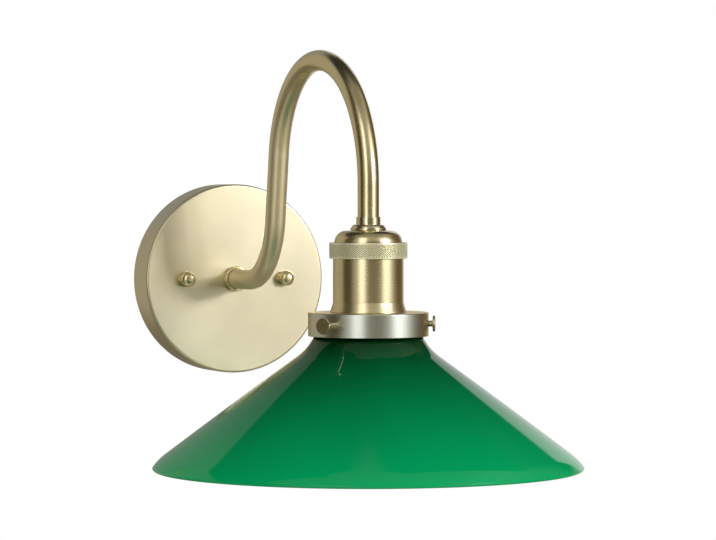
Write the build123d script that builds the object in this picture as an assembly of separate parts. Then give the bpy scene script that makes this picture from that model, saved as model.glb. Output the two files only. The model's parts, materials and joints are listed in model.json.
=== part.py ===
from build123d import *
import math
import os

# Gooseneck wall sconce. Millimetres, +Z up.
# Origin: centre of the canopy's back plane. The wall is the plane Y = 0 and the light stands out along -Y.

# ---- canopy and what holds it to the wall ----
canopy_diameter = 121.6
canopy_depth = 24.3
canopy_wall = 1.2
canopy_edge_radius = 1.4
plate_margin = 5.6
plate_thickness = 1.6
plate_wire_hole_diameter = 28.0
box_screw_spacing_small = 69.85
box_screw_spacing_large = 88.9
box_screw_slot_width = 4.8
stud_spacing = 68.0
stud_diameter = 4.17
stud_head_diameter = 7.0
stud_free_length = 5.6
cap_nut_diameter = 9.8
cap_nut_length = 8.0
cap_nut_barrel = 4.2
ground_tab_width = 9.0
ground_tab_height = 9.0
ground_tab_height_on_plate = -24.0
ground_screw_diameter = 4.17
ground_screw_length = 7.0
ground_screw_head_diameter = 8.3
ground_screw_head_height = 2.1
ground_screw_slot_width = 1.2
ground_wire_rise = 13.0

# ---- arm: a bent tube, its centreline in the plane X = 0 ----
tube_diameter = 12.7
tube_wall = 1.2
stub_length = 49.2
lower_bend_radius = 43.9
rear_leg_lean = 8.0
rear_leg_length = 43.2
arch_rear_radius = 64.6
arch_front_radius = 75.2
front_leg_length = 22.0
collar_diameter = 16.0
collar_length = 3.8
collar_floor = 1.0
nipple_diameter = 10.1
nipple_bore = 6.8
nipple_grip = 9.0
pipe_nut_width = 15.9
pipe_nut_thickness = 4.0
washer_diameter = 17.0
washer_thickness = 1.0

# ---- lamp socket, a stack of turned parts about one upright axis ----
coupling_diameter = 14.3
coupling_neck_length = 4.4
coupling_flare_length = 2.0
coupling_foot_diameter = 21.2
coupling_foot_length = 1.6
coupling_grip = 3.0
coupling_flare_mid_out = 0.24
coupling_flare_mid_up = 0.3
cap_height = 7.0
cap_corner_radius = 7.0
cap_wall = 0.8
ring_wall = 2.1
ring_height = 9.4
ring_lip = 1.6
ring_edge = 0.5
shell_height = 31.6
shell_wall = 0.7
shell_foot_step = 1.65
shell_foot_height = 3.0
shell_foot_flare = 3.2
shell_flare_mid_out = 0.3
shell_flare_mid_up = 0.42
shell_tail_step = 1.0
shell_tail_length = 3.4
shell_tail_wall = 0.8
strap_inset = 1.0
strap_width = 16.0
strap_thickness = 1.5
strap_end_margin = 4.0
strap_screw_diameter = 3.0
strap_screw_length = 8.0
strap_screw_head_diameter = 5.4
strap_screw_head_height = 1.8
small_screw_slot_width = 0.8
insulator_wall = 3.9
insulator_clearance = 1.0
insulator_boss_diameter = 7.6
insulator_boss_height = 7.4
insulator_floor = 12.0
screw_shell_bore = 26.6
screw_shell_wall = 0.5
screw_shell_length = 19.7
contact_width = 6.0
contact_length = 9.0
contact_thickness = 0.6
contact_rise = 2.4
contact_recess_diameter = 12.0
terminal_offset = 11.0
terminal_screw_diameter = 3.0
terminal_head_diameter = 6.0
terminal_head_height = 1.6
terminal_screw_length = 6.0

# ---- shade holder, its thumb screws and the glass ----
holder_diameter = 70.9
holder_height = 14.0
holder_wall = 1.2
holder_edge_radius = 0.8
holder_ring_wall = 3.65
holder_ring_height = 2.2
holder_ring_notch_count = 4
holder_ring_notch_width = 4.0
holder_ring_notch_depth = 1.5
thumb_screw_count = 3
first_thumb_screw_angle = -57.5
thumb_screw_drop = 6.6
thumb_screw_diameter = 3.5
thumb_screw_length = 12.7
thumb_screw_tip_chamfer = 0.4
thumb_screw_root_step = 0.7
thumb_head_diameter = 9.4
thumb_head_thickness = 1.3
thumb_slot_width = 1.2
thumb_slot_depth = 0.6
left_slot_turn = 22.0
right_slot_turn = 65.0
rear_slot_turn = 10.0
left_screw_backed_out = 8.2
glass_thickness = 3.4
fitter_lip_diameter = 57.15
fitter_lip_height = 2.4
fitter_lip_step = 3.575
fitter_neck_height = 7.6
shade_collar_diameter = 64.0
shade_collar_drop = 14.2
shade_flare_mid_out = 0.28
shade_flare_swell = 0.6
inner_flare_out = 1.2
inner_flare_down = 0.7
cone_top_diameter = 83.2
cone_top_drop = 25.8
shade_diameter = 254.0
shade_drop = 91.1
shade_edge_width = 7.5
shade_edge_drop = 7.6
shade_edge_swell = 0.3
shade_bulge_radius = 3000.0

# ---- wires ----
wire_diameter = 2.2
wire_pitch = 3.0
wire_bend_radius = 4.0
wire_tail = 6.0

# ---- clearances ----
running_clearance = 0.1
seat_gap = 0.3
thread_clearance = 0.05
bolt_clearance = 0.35
overcut = 1.0
least_corner = 0.1

# ---- derived places ----
canopy_radius = canopy_diameter / 2
plate_diameter = canopy_diameter - 2 * (canopy_wall + plate_margin)
tube_radius = tube_diameter / 2
tube_bore = tube_diameter - 2 * tube_wall
lean = math.radians(rear_leg_lean)
rear_top_reach = stub_length + lower_bend_radius * math.cos(lean) + rear_leg_length * math.sin(lean)
rear_top_rise = lower_bend_radius * (1 - math.sin(lean)) + rear_leg_length * math.cos(lean)
apex_reach = rear_top_reach + arch_rear_radius * math.cos(lean)
apex_rise = rear_top_rise + arch_rear_radius * (1 - math.sin(lean))
socket_reach = apex_reach + arch_front_radius
coupling_top = apex_rise - arch_front_radius - front_leg_length + coupling_grip
coupling_height = coupling_neck_length + coupling_flare_length + coupling_foot_length
cap_top = coupling_top - coupling_height
ring_top = cap_top - cap_height
shell_visible_top = ring_top - ring_height
shell_top = ring_top - ring_lip - running_clearance
holder_top = shell_visible_top - shell_height
holder_bottom = holder_top - holder_height
holder_floor = holder_top - holder_wall
screw_level = holder_top - thumb_screw_drop
neck_radius = fitter_lip_diameter / 2 - fitter_lip_step
holder_radius = holder_diameter / 2
glass_top = holder_floor - seat_gap
strap_top = cap_top - cap_wall - pipe_nut_thickness
strap_bottom = strap_top - strap_thickness
insulator_top = strap_bottom - insulator_boss_height
contact_seat = insulator_top - insulator_floor
shell_seat = contact_seat - contact_rise - contact_thickness - seat_gap
cavity_radius = screw_shell_bore / 2 + screw_shell_wall + seat_gap
insulator_radius = cavity_radius + insulator_wall
tail_radius = insulator_radius + insulator_clearance + shell_tail_wall
shell_radius = tail_radius + shell_tail_step
cap_radius = shell_radius - shell_wall - running_clearance
ring_radius = shell_radius + running_clearance + ring_wall
strap_length = 2 * (insulator_radius - strap_inset)
strap_screw_spacing = strap_length - 2 * strap_end_margin
insulator_bottom = shell_seat - screw_shell_length
wire_radius = wire_diameter / 2
wire_rest_height = insulator_top + wire_radius + running_clearance

arm_plane = Plane(origin=(0, 0, 0), x_dir=(0, -1, 0), z_dir=(-1, 0, 0))
socket_axis = Pos(0, -socket_reach, 0)


def ring_face(*edges):
    """Face bounded by the given edges, which are closed by their own ends."""
    return make_face(Wire(list(edges)))


def turned_upright(face):
    """Solid turned about Z from a face drawn as (radius, height)."""
    return revolve(Plane.XZ * face, Axis.Z)


def turned_outward(face):
    """Solid turned about Y from a face drawn as (radius, y)."""
    return revolve(face, Axis.Y)


def on_socket(shape):
    """Shape moved from the Z axis to the socket's axis."""
    return socket_axis * shape


def upright_cylinder(diameter, bottom, top):
    """Round bar about Z between two heights."""
    height = top - bottom
    return Pos(0, 0, bottom + height / 2) * Cylinder(diameter / 2, height)


def outward_cylinder(diameter, front, back):
    """Round bar about Y between two Y values, front being the more negative."""
    length = back - front
    return Pos(0, front + length / 2, 0) * Rot(90, 0, 0) * Cylinder(diameter / 2, length)


def hexagon_prism(width, height):
    """Upright hexagonal prism on Z = 0, measured across its flats."""
    return extrude(RegularPolygon(width / 2, 6, major_radius=False), height)


# ---- wall side ----
def make_canopy():
    """Spun cup with its rim on the wall and holes for the arm's nipple and the two studs."""
    back = 0
    front = -canopy_depth
    inner_radius = canopy_radius - canopy_wall
    inner_front = front + canopy_wall
    edge = canopy_edge_radius
    inner_edge = max(edge - canopy_wall, least_corner)
    inner_corner = (inner_radius - inner_edge, inner_front)
    bore = nipple_diameter / 2 + thread_clearance
    outline = ring_face(
        Line((bore, front), (canopy_radius - edge, front)),
        RadiusArc((canopy_radius - edge, front), (canopy_radius, front + edge), -edge),
        Line((canopy_radius, front + edge), (canopy_radius, back)),
        Line((canopy_radius, back), (inner_radius, back)),
        Line((inner_radius, back), (inner_radius, inner_front + inner_edge)),
        RadiusArc((inner_radius, inner_front + inner_edge), inner_corner, inner_edge),
        Line(inner_corner, (bore, inner_front)),
        Line((bore, inner_front), (bore, front)),
    )
    canopy = turned_outward(outline)
    hole_diameter = stud_diameter + 2 * bolt_clearance
    stud_hole = outward_cylinder(hole_diameter, front - overcut, inner_front + overcut)
    for side in (-1, 1):
        canopy -= Pos(side * stud_spacing / 2, 0, 0) * stud_hole
    return canopy


def make_mounting_plate():
    """Flat round plate against the wall: slots for the box screws, a wire hole and a ground tab."""
    plate = outward_cylinder(plate_diameter, -plate_thickness, 0)
    plate -= outward_cylinder(plate_wire_hole_diameter, -plate_thickness - overcut, overcut)
    stud_seat = outward_cylinder(stud_head_diameter, -plate_thickness - overcut, overcut)
    slot_length = (box_screw_spacing_large - box_screw_spacing_small) / 2 + box_screw_slot_width
    slot_center = (box_screw_spacing_large + box_screw_spacing_small) / 4
    slot_face = Rot(0, 0, 90) * SlotOverall(slot_length, box_screw_slot_width)
    slot = Rot(90, 0, 0) * extrude(slot_face, plate_thickness + overcut, both=True)
    for side in (-1, 1):
        plate -= Pos(0, 0, side * slot_center) * slot
        plate -= Pos(side * stud_spacing / 2, 0, 0) * stud_seat
    tab = Box(plate_thickness, ground_tab_height, ground_tab_width,
              align=(Align.CENTER, Align.MAX, Align.CENTER))
    screw_hole = Cylinder(ground_screw_diameter / 2 + thread_clearance, plate_thickness + overcut)
    tab -= Pos(0, -ground_tab_height / 2, 0) * Rot(0, 90, 0) * screw_hole
    plate += Pos(0, -plate_thickness, ground_tab_height_on_plate) * tab
    return plate


def make_canopy_studs():
    """Two studs pressed into the plate, long enough to pass the canopy and fill the cap nuts."""
    tip = -canopy_depth - stud_free_length
    head = outward_cylinder(stud_head_diameter, -plate_thickness, 0)
    shank = outward_cylinder(stud_diameter, tip, -plate_thickness)
    stud = head + shank
    return [Pos(side * stud_spacing / 2, 0, 0) * stud for side in (-1, 1)]


def make_cap_nut(side):
    """Domed nut that closes over a stud and presses on the canopy's face."""
    seat = -canopy_depth
    blank = upright_cylinder(cap_nut_diameter, 0, cap_nut_length)
    dome_edge = blank.edges().filter_by(GeomType.CIRCLE).sort_by(Axis.Z)[-1]
    blank = fillet(dome_edge, cap_nut_length - cap_nut_barrel)
    bore_depth = stud_free_length + seat_gap
    blank -= upright_cylinder(stud_diameter + 2 * running_clearance, -overcut, bore_depth)
    return Pos(side * stud_spacing / 2, seat, 0) * Rot(90, 0, 0) * blank


def make_ground_screw():
    """Pan-head screw through the plate's tab, for the ground wire."""
    head_top = ground_screw_length + ground_screw_head_height
    shank = upright_cylinder(ground_screw_diameter, 0, ground_screw_length)
    head = upright_cylinder(ground_screw_head_diameter, ground_screw_length, head_top)
    slot = Box(2 * ground_screw_head_diameter, ground_screw_slot_width, ground_screw_head_height)
    screw = shank + head - Pos(0, 0, head_top) * slot
    under_head = plate_thickness / 2 + wire_diameter + running_clearance
    reach = plate_thickness + ground_tab_height / 2
    seat = Pos(under_head - ground_screw_length, -reach, ground_tab_height_on_plate)
    return seat * Rot(0, 90, 0) * screw


def make_ground_wire():
    """Bare wire from under the ground screw's head to the wire hole."""
    x_place = plate_thickness / 2 + wire_radius + running_clearance / 2
    side = ground_screw_diameter / 2 + wire_radius + running_clearance
    reach = plate_thickness + ground_tab_height / 2 + side
    level = ground_tab_height_on_plate
    path = FilletPolyline(
        (x_place, -reach, level - side),
        (x_place, -reach, level + ground_wire_rise),
        (x_place, -plate_thickness / 2, level + ground_wire_rise),
        radius=wire_bend_radius,
    )
    section = Plane(origin=path @ 0, z_dir=path % 0) * Circle(wire_radius)
    return sweep(section, path)


# ---- arm ----
def arm_line(start_reach, front_length):
    """The arm's centreline in its own plane: x is the reach from the wall, y the height."""
    stub = Line((start_reach, 0), (stub_length, 0))
    lower_bend = JernArc(stub @ 1, stub % 1, lower_bend_radius, 90 - rear_leg_lean)
    rear_leg = Line(lower_bend @ 1, lower_bend @ 1 + rear_leg_length * (lower_bend % 1))
    rear_arch = JernArc(rear_leg @ 1, rear_leg % 1, arch_rear_radius, rear_leg_lean - 90)
    front_arch = JernArc(rear_arch @ 1, rear_arch % 1, arch_front_radius, -90)
    front_leg = Line(front_arch @ 1, front_arch @ 1 + front_length * (front_arch % 1))
    return [stub, lower_bend, rear_leg, rear_arch, front_arch, front_leg]


def make_arm_tube():
    """The gooseneck: out from the wall, up, over in an arch and down to the socket."""
    start_reach = canopy_depth + collar_floor
    path = arm_plane * Wire(arm_line(start_reach, front_leg_length))
    section = Circle(tube_radius) - Circle(tube_bore / 2)
    return sweep(Plane(origin=(0, -start_reach, 0), z_dir=(0, -1, 0)) * section, path)


def make_arm_collar():
    """Turned ring that covers the joint of tube and canopy."""
    radius = collar_diameter / 2
    base = -canopy_depth
    front = base - collar_length
    edge = (radius - tube_radius - running_clearance) / 2
    pocket = tube_radius + running_clearance
    bore = nipple_diameter / 2 + thread_clearance
    outline = ring_face(
        Line((bore, base), (radius, base)),
        Line((radius, base), (radius, front + edge)),
        ThreePointArc((radius, front + edge), (radius - edge, front), (pocket, front + edge)),
        Line((pocket, front + edge), (pocket, base - collar_floor)),
        Line((pocket, base - collar_floor), (bore, base - collar_floor)),
        Line((bore, base - collar_floor), (bore, base)),
    )
    return turned_outward(outline)


def nipple(length):
    """Length of threaded pipe on Z = 0."""
    pipe = upright_cylinder(nipple_diameter, 0, length)
    return pipe - upright_cylinder(nipple_bore, -overcut, length + overcut)


def pipe_nut():
    """Hexagonal nut for the threaded pipe, on Z = 0."""
    bore_diameter = nipple_diameter + 2 * thread_clearance
    bore = upright_cylinder(bore_diameter, -overcut, pipe_nut_thickness + overcut)
    return hexagon_prism(pipe_nut_width, pipe_nut_thickness) - bore


def make_arm_nipple():
    """Threaded pipe from inside the canopy into the tube's end."""
    tail = canopy_depth - canopy_wall - washer_thickness - pipe_nut_thickness - wire_radius
    tip = canopy_depth + collar_floor + nipple_grip
    return Pos(0, -tail, 0) * Rot(90, 0, 0) * nipple(tip - tail)


def make_canopy_washer():
    """Flat washer between the canopy and its lock nut."""
    front = -canopy_depth + canopy_wall
    back = front + washer_thickness
    bore = outward_cylinder(nipple_diameter + 2 * thread_clearance, front - overcut, back + overcut)
    return outward_cylinder(washer_diameter, front, back) - bore


def make_canopy_lock_nut():
    """Nut that draws the arm's nipple tight in the canopy."""
    back = -canopy_depth + canopy_wall + washer_thickness
    return Pos(0, back, 0) * Rot(-90, 0, 0) * pipe_nut()


# ---- lamp socket ----
def make_socket_nipple():
    """Threaded pipe from the tube's end down to the socket's strap."""
    tube_end = coupling_top - coupling_grip
    return on_socket(Pos(0, 0, strap_bottom) * nipple(tube_end + nipple_grip - strap_bottom))


def make_socket_lock_nut():
    """Nut under the cap that clamps cap and coupling to the nipple."""
    return on_socket(Pos(0, 0, strap_top) * pipe_nut())


def make_socket_coupling():
    """Turned sleeve between tube and cap: a neck, a concave flare and a flat foot."""
    neck = coupling_diameter / 2
    foot = coupling_foot_diameter / 2
    pocket = tube_radius + thread_clearance
    bore = nipple_diameter / 2 + thread_clearance
    top = coupling_top
    neck_end = top - coupling_neck_length
    foot_top = neck_end - coupling_flare_length
    pocket_floor = top - coupling_grip
    flare_mid = (
        neck + coupling_flare_mid_out * (foot - neck),
        foot_top + coupling_flare_mid_up * coupling_flare_length,
    )
    outline = ring_face(
        Line((pocket, top), (neck, top)),
        Line((neck, top), (neck, neck_end)),
        ThreePointArc((neck, neck_end), flare_mid, (foot, foot_top)),
        Line((foot, foot_top), (foot, cap_top)),
        Line((foot, cap_top), (bore, cap_top)),
        Line((bore, cap_top), (bore, pocket_floor)),
        Line((bore, pocket_floor), (pocket, pocket_floor)),
        Line((pocket, pocket_floor), (pocket, top)),
    )
    return on_socket(turned_upright(outline))


def make_socket_cap():
    """Spun dome whose skirt reaches down inside the shell."""
    radius = cap_radius
    corner = cap_corner_radius
    inner = radius - cap_wall
    inner_corner = corner - cap_wall
    under = cap_top - cap_wall
    skirt_end = shell_visible_top - ring_lip
    bore = nipple_diameter / 2 + thread_clearance
    outline = ring_face(
        Line((bore, cap_top), (radius - corner, cap_top)),
        RadiusArc((radius - corner, cap_top), (radius, cap_top - corner), corner),
        Line((radius, cap_top - corner), (radius, skirt_end)),
        Line((radius, skirt_end), (inner, skirt_end)),
        Line((inner, skirt_end), (inner, under - inner_corner)),
        RadiusArc((inner, under - inner_corner), (inner - inner_corner, under), -inner_corner),
        Line((inner - inner_corner, under), (bore, under)),
        Line((bore, under), (bore, cap_top)),
    )
    return on_socket(turned_upright(outline))


def make_knurled_ring():
    """Coupling ring that turns on the shell's top and laps over the cap."""
    radius = ring_radius
    edge = ring_edge
    bottom = shell_visible_top
    lip_bore = cap_radius + running_clearance
    bore = shell_radius + running_clearance
    lip_under = ring_top - ring_lip
    outline = ring_face(
        Line((lip_bore, ring_top), (radius - edge, ring_top)),
        Line((radius - edge, ring_top), (radius, ring_top - edge)),
        Line((radius, ring_top - edge), (radius, bottom + edge)),
        Line((radius, bottom + edge), (radius - edge, bottom)),
        Line((radius - edge, bottom), (bore, bottom)),
        Line((bore, bottom), (bore, lip_under)),
        Line((bore, lip_under), (lip_bore, lip_under)),
        Line((lip_bore, lip_under), (lip_bore, ring_top)),
    )
    return on_socket(turned_upright(outline))


def make_socket_shell():
    """Straight metal shell with a flared foot on the holder and a threaded tail through it."""
    radius = shell_radius
    inner = radius - shell_wall
    foot = radius + shell_foot_step
    tail = tail_radius
    tail_inner = tail - shell_tail_wall
    foot_top = holder_top + shell_foot_height
    flare_top = foot_top + shell_foot_flare
    tail_end = holder_top - holder_wall - shell_tail_length
    flare_mid = (
        radius + shell_flare_mid_out * shell_foot_step,
        foot_top + shell_flare_mid_up * shell_foot_flare,
    )
    outline = ring_face(
        Line((inner, shell_top), (radius, shell_top)),
        Line((radius, shell_top), (radius, flare_top)),
        ThreePointArc((radius, flare_top), flare_mid, (foot, foot_top)),
        Line((foot, foot_top), (foot, holder_top)),
        Line((foot, holder_top), (tail, holder_top)),
        Line((tail, holder_top), (tail, tail_end)),
        Line((tail, tail_end), (tail_inner, tail_end)),
        Line((tail_inner, tail_end), (tail_inner, flare_top)),
        Line((tail_inner, flare_top), (inner, flare_top + shell_wall)),
        Line((inner, flare_top + shell_wall), (inner, shell_top)),
    )
    return on_socket(turned_upright(outline))


def strap_screw_place(side):
    """Axis of one strap screw, from the socket's axis."""
    return Pos(side * strap_screw_spacing / 2, 0, 0)


def make_socket_strap():
    """Flat strap threaded on the nipple, which carries the porcelain."""
    blank = extrude(SlotOverall(strap_length, strap_width), strap_thickness)
    strap = Pos(0, 0, strap_bottom) * blank
    low = strap_bottom - overcut
    high = strap_top + overcut
    strap -= upright_cylinder(nipple_diameter + 2 * thread_clearance, low, high)
    hole = upright_cylinder(strap_screw_diameter + 2 * running_clearance, low, high)
    for side in (-1, 1):
        strap -= strap_screw_place(side) * hole
    return on_socket(strap)


def make_strap_screws():
    """Two screws through the strap into the porcelain's bosses."""
    shank = upright_cylinder(strap_screw_diameter, strap_top - strap_screw_length, strap_top)
    head_top = strap_top + strap_screw_head_height
    head = upright_cylinder(strap_screw_head_diameter, strap_top, head_top)
    slot = Box(2 * strap_screw_head_diameter, small_screw_slot_width, strap_screw_head_height)
    screw = shank + head - Pos(0, 0, head_top) * slot
    return [on_socket(strap_screw_place(side) * screw) for side in (-1, 1)]


def terminal_place(side):
    """Axis of the terminal screw on one side of the socket, beside its wire."""
    beside = wire_radius + terminal_screw_diameter / 2 + running_clearance
    return Pos(side * (wire_pitch / 2 - beside), side * terminal_offset, 0)


def make_socket_insulator():
    """Porcelain body: a deep cup for the screw shell, a recess for the contact and two bosses on top."""
    body = upright_cylinder(2 * insulator_radius, insulator_bottom, insulator_top)
    body -= upright_cylinder(2 * cavity_radius, insulator_bottom - overcut, shell_seat)
    body -= upright_cylinder(contact_recess_diameter, shell_seat - overcut, contact_seat)
    boss = upright_cylinder(insulator_boss_diameter, insulator_top, strap_bottom)
    for side in (-1, 1):
        body += strap_screw_place(side) * boss
    strap_bore_floor = strap_top - strap_screw_length - overcut
    strap_bore = upright_cylinder(
        strap_screw_diameter + 2 * thread_clearance, strap_bore_floor, strap_bottom + overcut)
    terminal_bore_floor = insulator_top - terminal_screw_length
    terminal_bore = upright_cylinder(
        terminal_screw_diameter + 2 * thread_clearance, terminal_bore_floor, insulator_top + overcut)
    for side in (-1, 1):
        body -= strap_screw_place(side) * strap_bore
        body -= terminal_place(side) * terminal_bore
    return on_socket(body)


def make_screw_shell():
    """Thin threaded shell that takes the lamp's cap, with an inward ledge round the contact's recess."""
    outer = screw_shell_bore / 2 + screw_shell_wall
    bore = screw_shell_bore / 2
    top = shell_seat
    bottom = insulator_bottom + seat_gap
    ledge_bore = contact_recess_diameter / 2
    outline = ring_face(
        Line((ledge_bore, top), (outer, top)),
        Line((outer, top), (outer, bottom)),
        Line((outer, bottom), (bore, bottom)),
        Line((bore, bottom), (bore, top - screw_shell_wall)),
        Line((bore, top - screw_shell_wall), (ledge_bore, top - screw_shell_wall)),
        Line((ledge_bore, top - screw_shell_wall), (ledge_bore, top)),
    )
    return on_socket(turned_upright(outline))


def make_centre_contact():
    """Springy brass tongue on the recess's roof, folded back and down to meet the lamp's tip."""
    half = contact_length / 2
    top = contact_seat
    low = top - contact_rise
    thick = contact_thickness
    fold = top - 2 * thick
    side_view = Polyline(
        (-half, top),
        (half, top),
        (half, fold - thick),
        (-half / 2, low - thick),
        (-half / 2, low),
        (half - thick, fold),
        (half - thick, top - thick),
        (-half, top - thick),
        (-half, top),
    )
    tongue = extrude(Plane.XZ * make_face(side_view), contact_width / 2, both=True)
    return on_socket(tongue)


def make_terminal_screw(side):
    """Binding screw that clamps a wire on the porcelain's roof."""
    under_head = insulator_top + wire_diameter + 2 * running_clearance
    shank_end = insulator_top - terminal_screw_length + running_clearance
    shank = upright_cylinder(terminal_screw_diameter, shank_end, under_head)
    head_top = under_head + terminal_head_height
    head = upright_cylinder(terminal_head_diameter, under_head, head_top)
    slot = Box(2 * terminal_head_diameter, small_screw_slot_width, terminal_head_height)
    screw = shank + head - Pos(0, 0, head_top) * slot
    return on_socket(terminal_place(side) * screw)


# ---- wires ----
def make_lead_wire(side):
    """Insulated wire from a terminal through the nipples and the arm to the plate's wire hole."""
    x_place = side * wire_pitch / 2
    front_drop = apex_rise - arch_front_radius - wire_rest_height
    run = arm_line(plate_thickness / 2, front_drop - wire_bend_radius)
    corner = JernArc(run[-1] @ 1, run[-1] % 1, wire_bend_radius, -side * 90)
    tail_length = terminal_offset + wire_tail / 2 - wire_bend_radius
    tail = Line(corner @ 1, corner @ 1 + tail_length * (corner % 1))
    path = Pos(x_place, 0, 0) * (arm_plane * Wire(run + [corner, tail]))
    start = Plane(origin=(x_place, -plate_thickness / 2, 0), z_dir=(0, -1, 0))
    return sweep(start * Circle(wire_radius), path)


# ---- shade holder ----
def around_socket(turn, shape):
    """Shape drawn towards -Y from the socket's axis, swung about it by a turn in degrees."""
    return on_socket(Rot(0, 0, turn) * shape)


def thumb_screw_angle(index):
    """Turn of one thumb screw about the socket's axis; the first points to the front left."""
    return first_thumb_screw_angle + index * 360 / thumb_screw_count


def make_shade_holder():
    """Shallow cup round the glass's neck, with a threaded hole for each thumb screw."""
    radius = holder_radius
    inner = radius - holder_wall
    edge = holder_edge_radius
    hole = tail_radius + thread_clearance
    outline = ring_face(
        Line((hole, holder_top), (radius - edge, holder_top)),
        RadiusArc((radius - edge, holder_top), (radius, holder_top - edge), edge),
        Line((radius, holder_top - edge), (radius, holder_bottom)),
        Line((radius, holder_bottom), (inner, holder_bottom)),
        Line((inner, holder_bottom), (inner, holder_floor)),
        Line((inner, holder_floor), (hole, holder_floor)),
        Line((hole, holder_floor), (hole, holder_top)),
    )
    holder = on_socket(turned_upright(outline))
    bore_radius = thumb_screw_diameter / 2 + thread_clearance
    bore = Pos(0, -radius, screw_level) * Rot(90, 0, 0) * Cylinder(bore_radius, 6 * holder_wall)
    for index in range(thumb_screw_count):
        holder -= around_socket(thumb_screw_angle(index), bore)
    return holder


def make_holder_ring():
    """Threaded ring under the holder's floor that clamps it to the shell's tail."""
    top = holder_floor
    bottom = top - holder_ring_height
    bore = tail_radius + thread_clearance
    radius = bore + holder_ring_wall
    ring = upright_cylinder(2 * radius, bottom, top)
    ring -= upright_cylinder(2 * bore, bottom - overcut, top + overcut)
    notch_box = Box(2 * holder_ring_notch_depth, holder_ring_notch_width, holder_ring_height)
    step = 360 / holder_ring_notch_count
    for index in range(holder_ring_notch_count):
        ring -= Rot(0, 0, (index + 0.5) * step) * Pos(radius, 0, bottom) * notch_box
    return on_socket(ring)


def make_thumb_screw(index, backed_out, slot_turn):
    """Slotted disc-head screw whose tip holds the glass's neck under its lip."""
    tip = neck_radius + seat_gap + backed_out
    seat = tip + thumb_screw_length
    shank_radius = thumb_screw_diameter / 2
    head_radius = thumb_head_diameter / 2
    face = seat + thumb_head_thickness
    chamfer = thumb_screw_tip_chamfer
    root = thumb_screw_root_step
    outline = ring_face(
        Line((0, tip), (shank_radius - chamfer, tip)),
        Line((shank_radius - chamfer, tip), (shank_radius, tip + chamfer)),
        Line((shank_radius, tip + chamfer), (shank_radius, seat - root)),
        Line((shank_radius, seat - root), (shank_radius + root, seat)),
        Line((shank_radius + root, seat), (head_radius, seat)),
        Line((head_radius, seat), (head_radius, face)),
        Line((head_radius, face), (0, face)),
        Line((0, face), (0, tip)),
    )
    screw = turned_outward(outline)
    slot = Box(2 * thumb_head_diameter, 2 * thumb_slot_depth, thumb_slot_width)
    screw -= Pos(0, face, 0) * Rot(0, slot_turn, 0) * slot
    outward = Rot(0, 0, 180) * screw
    return around_socket(thumb_screw_angle(index), Pos(0, 0, screw_level) * outward)


def shade_outline():
    """Half section of the glass: fitter lip and neck, a collar under the holder, a wide cone and its edge."""
    wall = glass_thickness
    lip = fitter_lip_diameter / 2
    neck = neck_radius
    rim = shade_diameter / 2
    lip_end = glass_top - fitter_lip_height
    neck_end = glass_top - fitter_neck_height
    widest = holder_top - shade_drop
    collar = (shade_collar_diameter / 2, holder_top - shade_collar_drop)
    cone_top = (cone_top_diameter / 2, holder_top - cone_top_drop)
    cone_end = (rim - shade_edge_width, widest + shade_edge_drop)
    slope = math.atan2(cone_end[0] - cone_top[0], cone_top[1] - cone_end[1])
    inward = (-wall * math.cos(slope), -wall * math.sin(slope))
    flare_mid = (
        collar[0] + shade_flare_mid_out * (cone_top[0] - collar[0]),
        (collar[1] + cone_top[1]) / 2 + shade_flare_swell,
    )
    edge_mid = (
        (cone_end[0] + rim) / 2 + shade_edge_swell,
        (cone_end[1] + widest) / 2 + shade_edge_swell,
    )
    inner_edge = (rim - wall, widest)
    inner_cone_end = (cone_end[0] + inward[0], cone_end[1] + inward[1])
    inner_cone_top = (cone_top[0] + inward[0], cone_top[1] + inward[1])
    inner_collar = (collar[0] - wall, collar[1] - wall / 2)
    inner_flare_mid = (
        flare_mid[0] + inner_flare_out * inward[0],
        flare_mid[1] + inner_flare_down * inward[1],
    )
    chamfer = wall / 4
    return ring_face(
        Line((lip - wall, glass_top), (lip, glass_top)),
        Line((lip, glass_top), (lip, lip_end)),
        Line((lip, lip_end), (neck, lip_end - chamfer)),
        Line((neck, lip_end - chamfer), (neck, neck_end)),
        Line((neck, neck_end), collar),
        ThreePointArc(collar, flare_mid, cone_top),
        RadiusArc(cone_top, cone_end, -shade_bulge_radius),
        ThreePointArc(cone_end, edge_mid, (rim, widest)),
        ThreePointArc((rim, widest), (rim - wall / 2, widest - wall / 2), inner_edge),
        Line(inner_edge, inner_cone_end),
        RadiusArc(inner_cone_end, inner_cone_top, shade_bulge_radius),
        ThreePointArc(inner_cone_top, inner_flare_mid, inner_collar),
        Line(inner_collar, (neck - wall, neck_end - chamfer)),
        Line((neck - wall, neck_end - chamfer), (neck - wall, lip_end - wall / 2)),
        Line((neck - wall, lip_end - wall / 2), (lip - wall, lip_end + chamfer)),
        Line((lip - wall, lip_end + chamfer), (lip - wall, glass_top)),
    )


def make_glass_shade():
    """Blown cone shade, hung by its lip in the holder."""
    return on_socket(turned_upright(shade_outline()))


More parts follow.
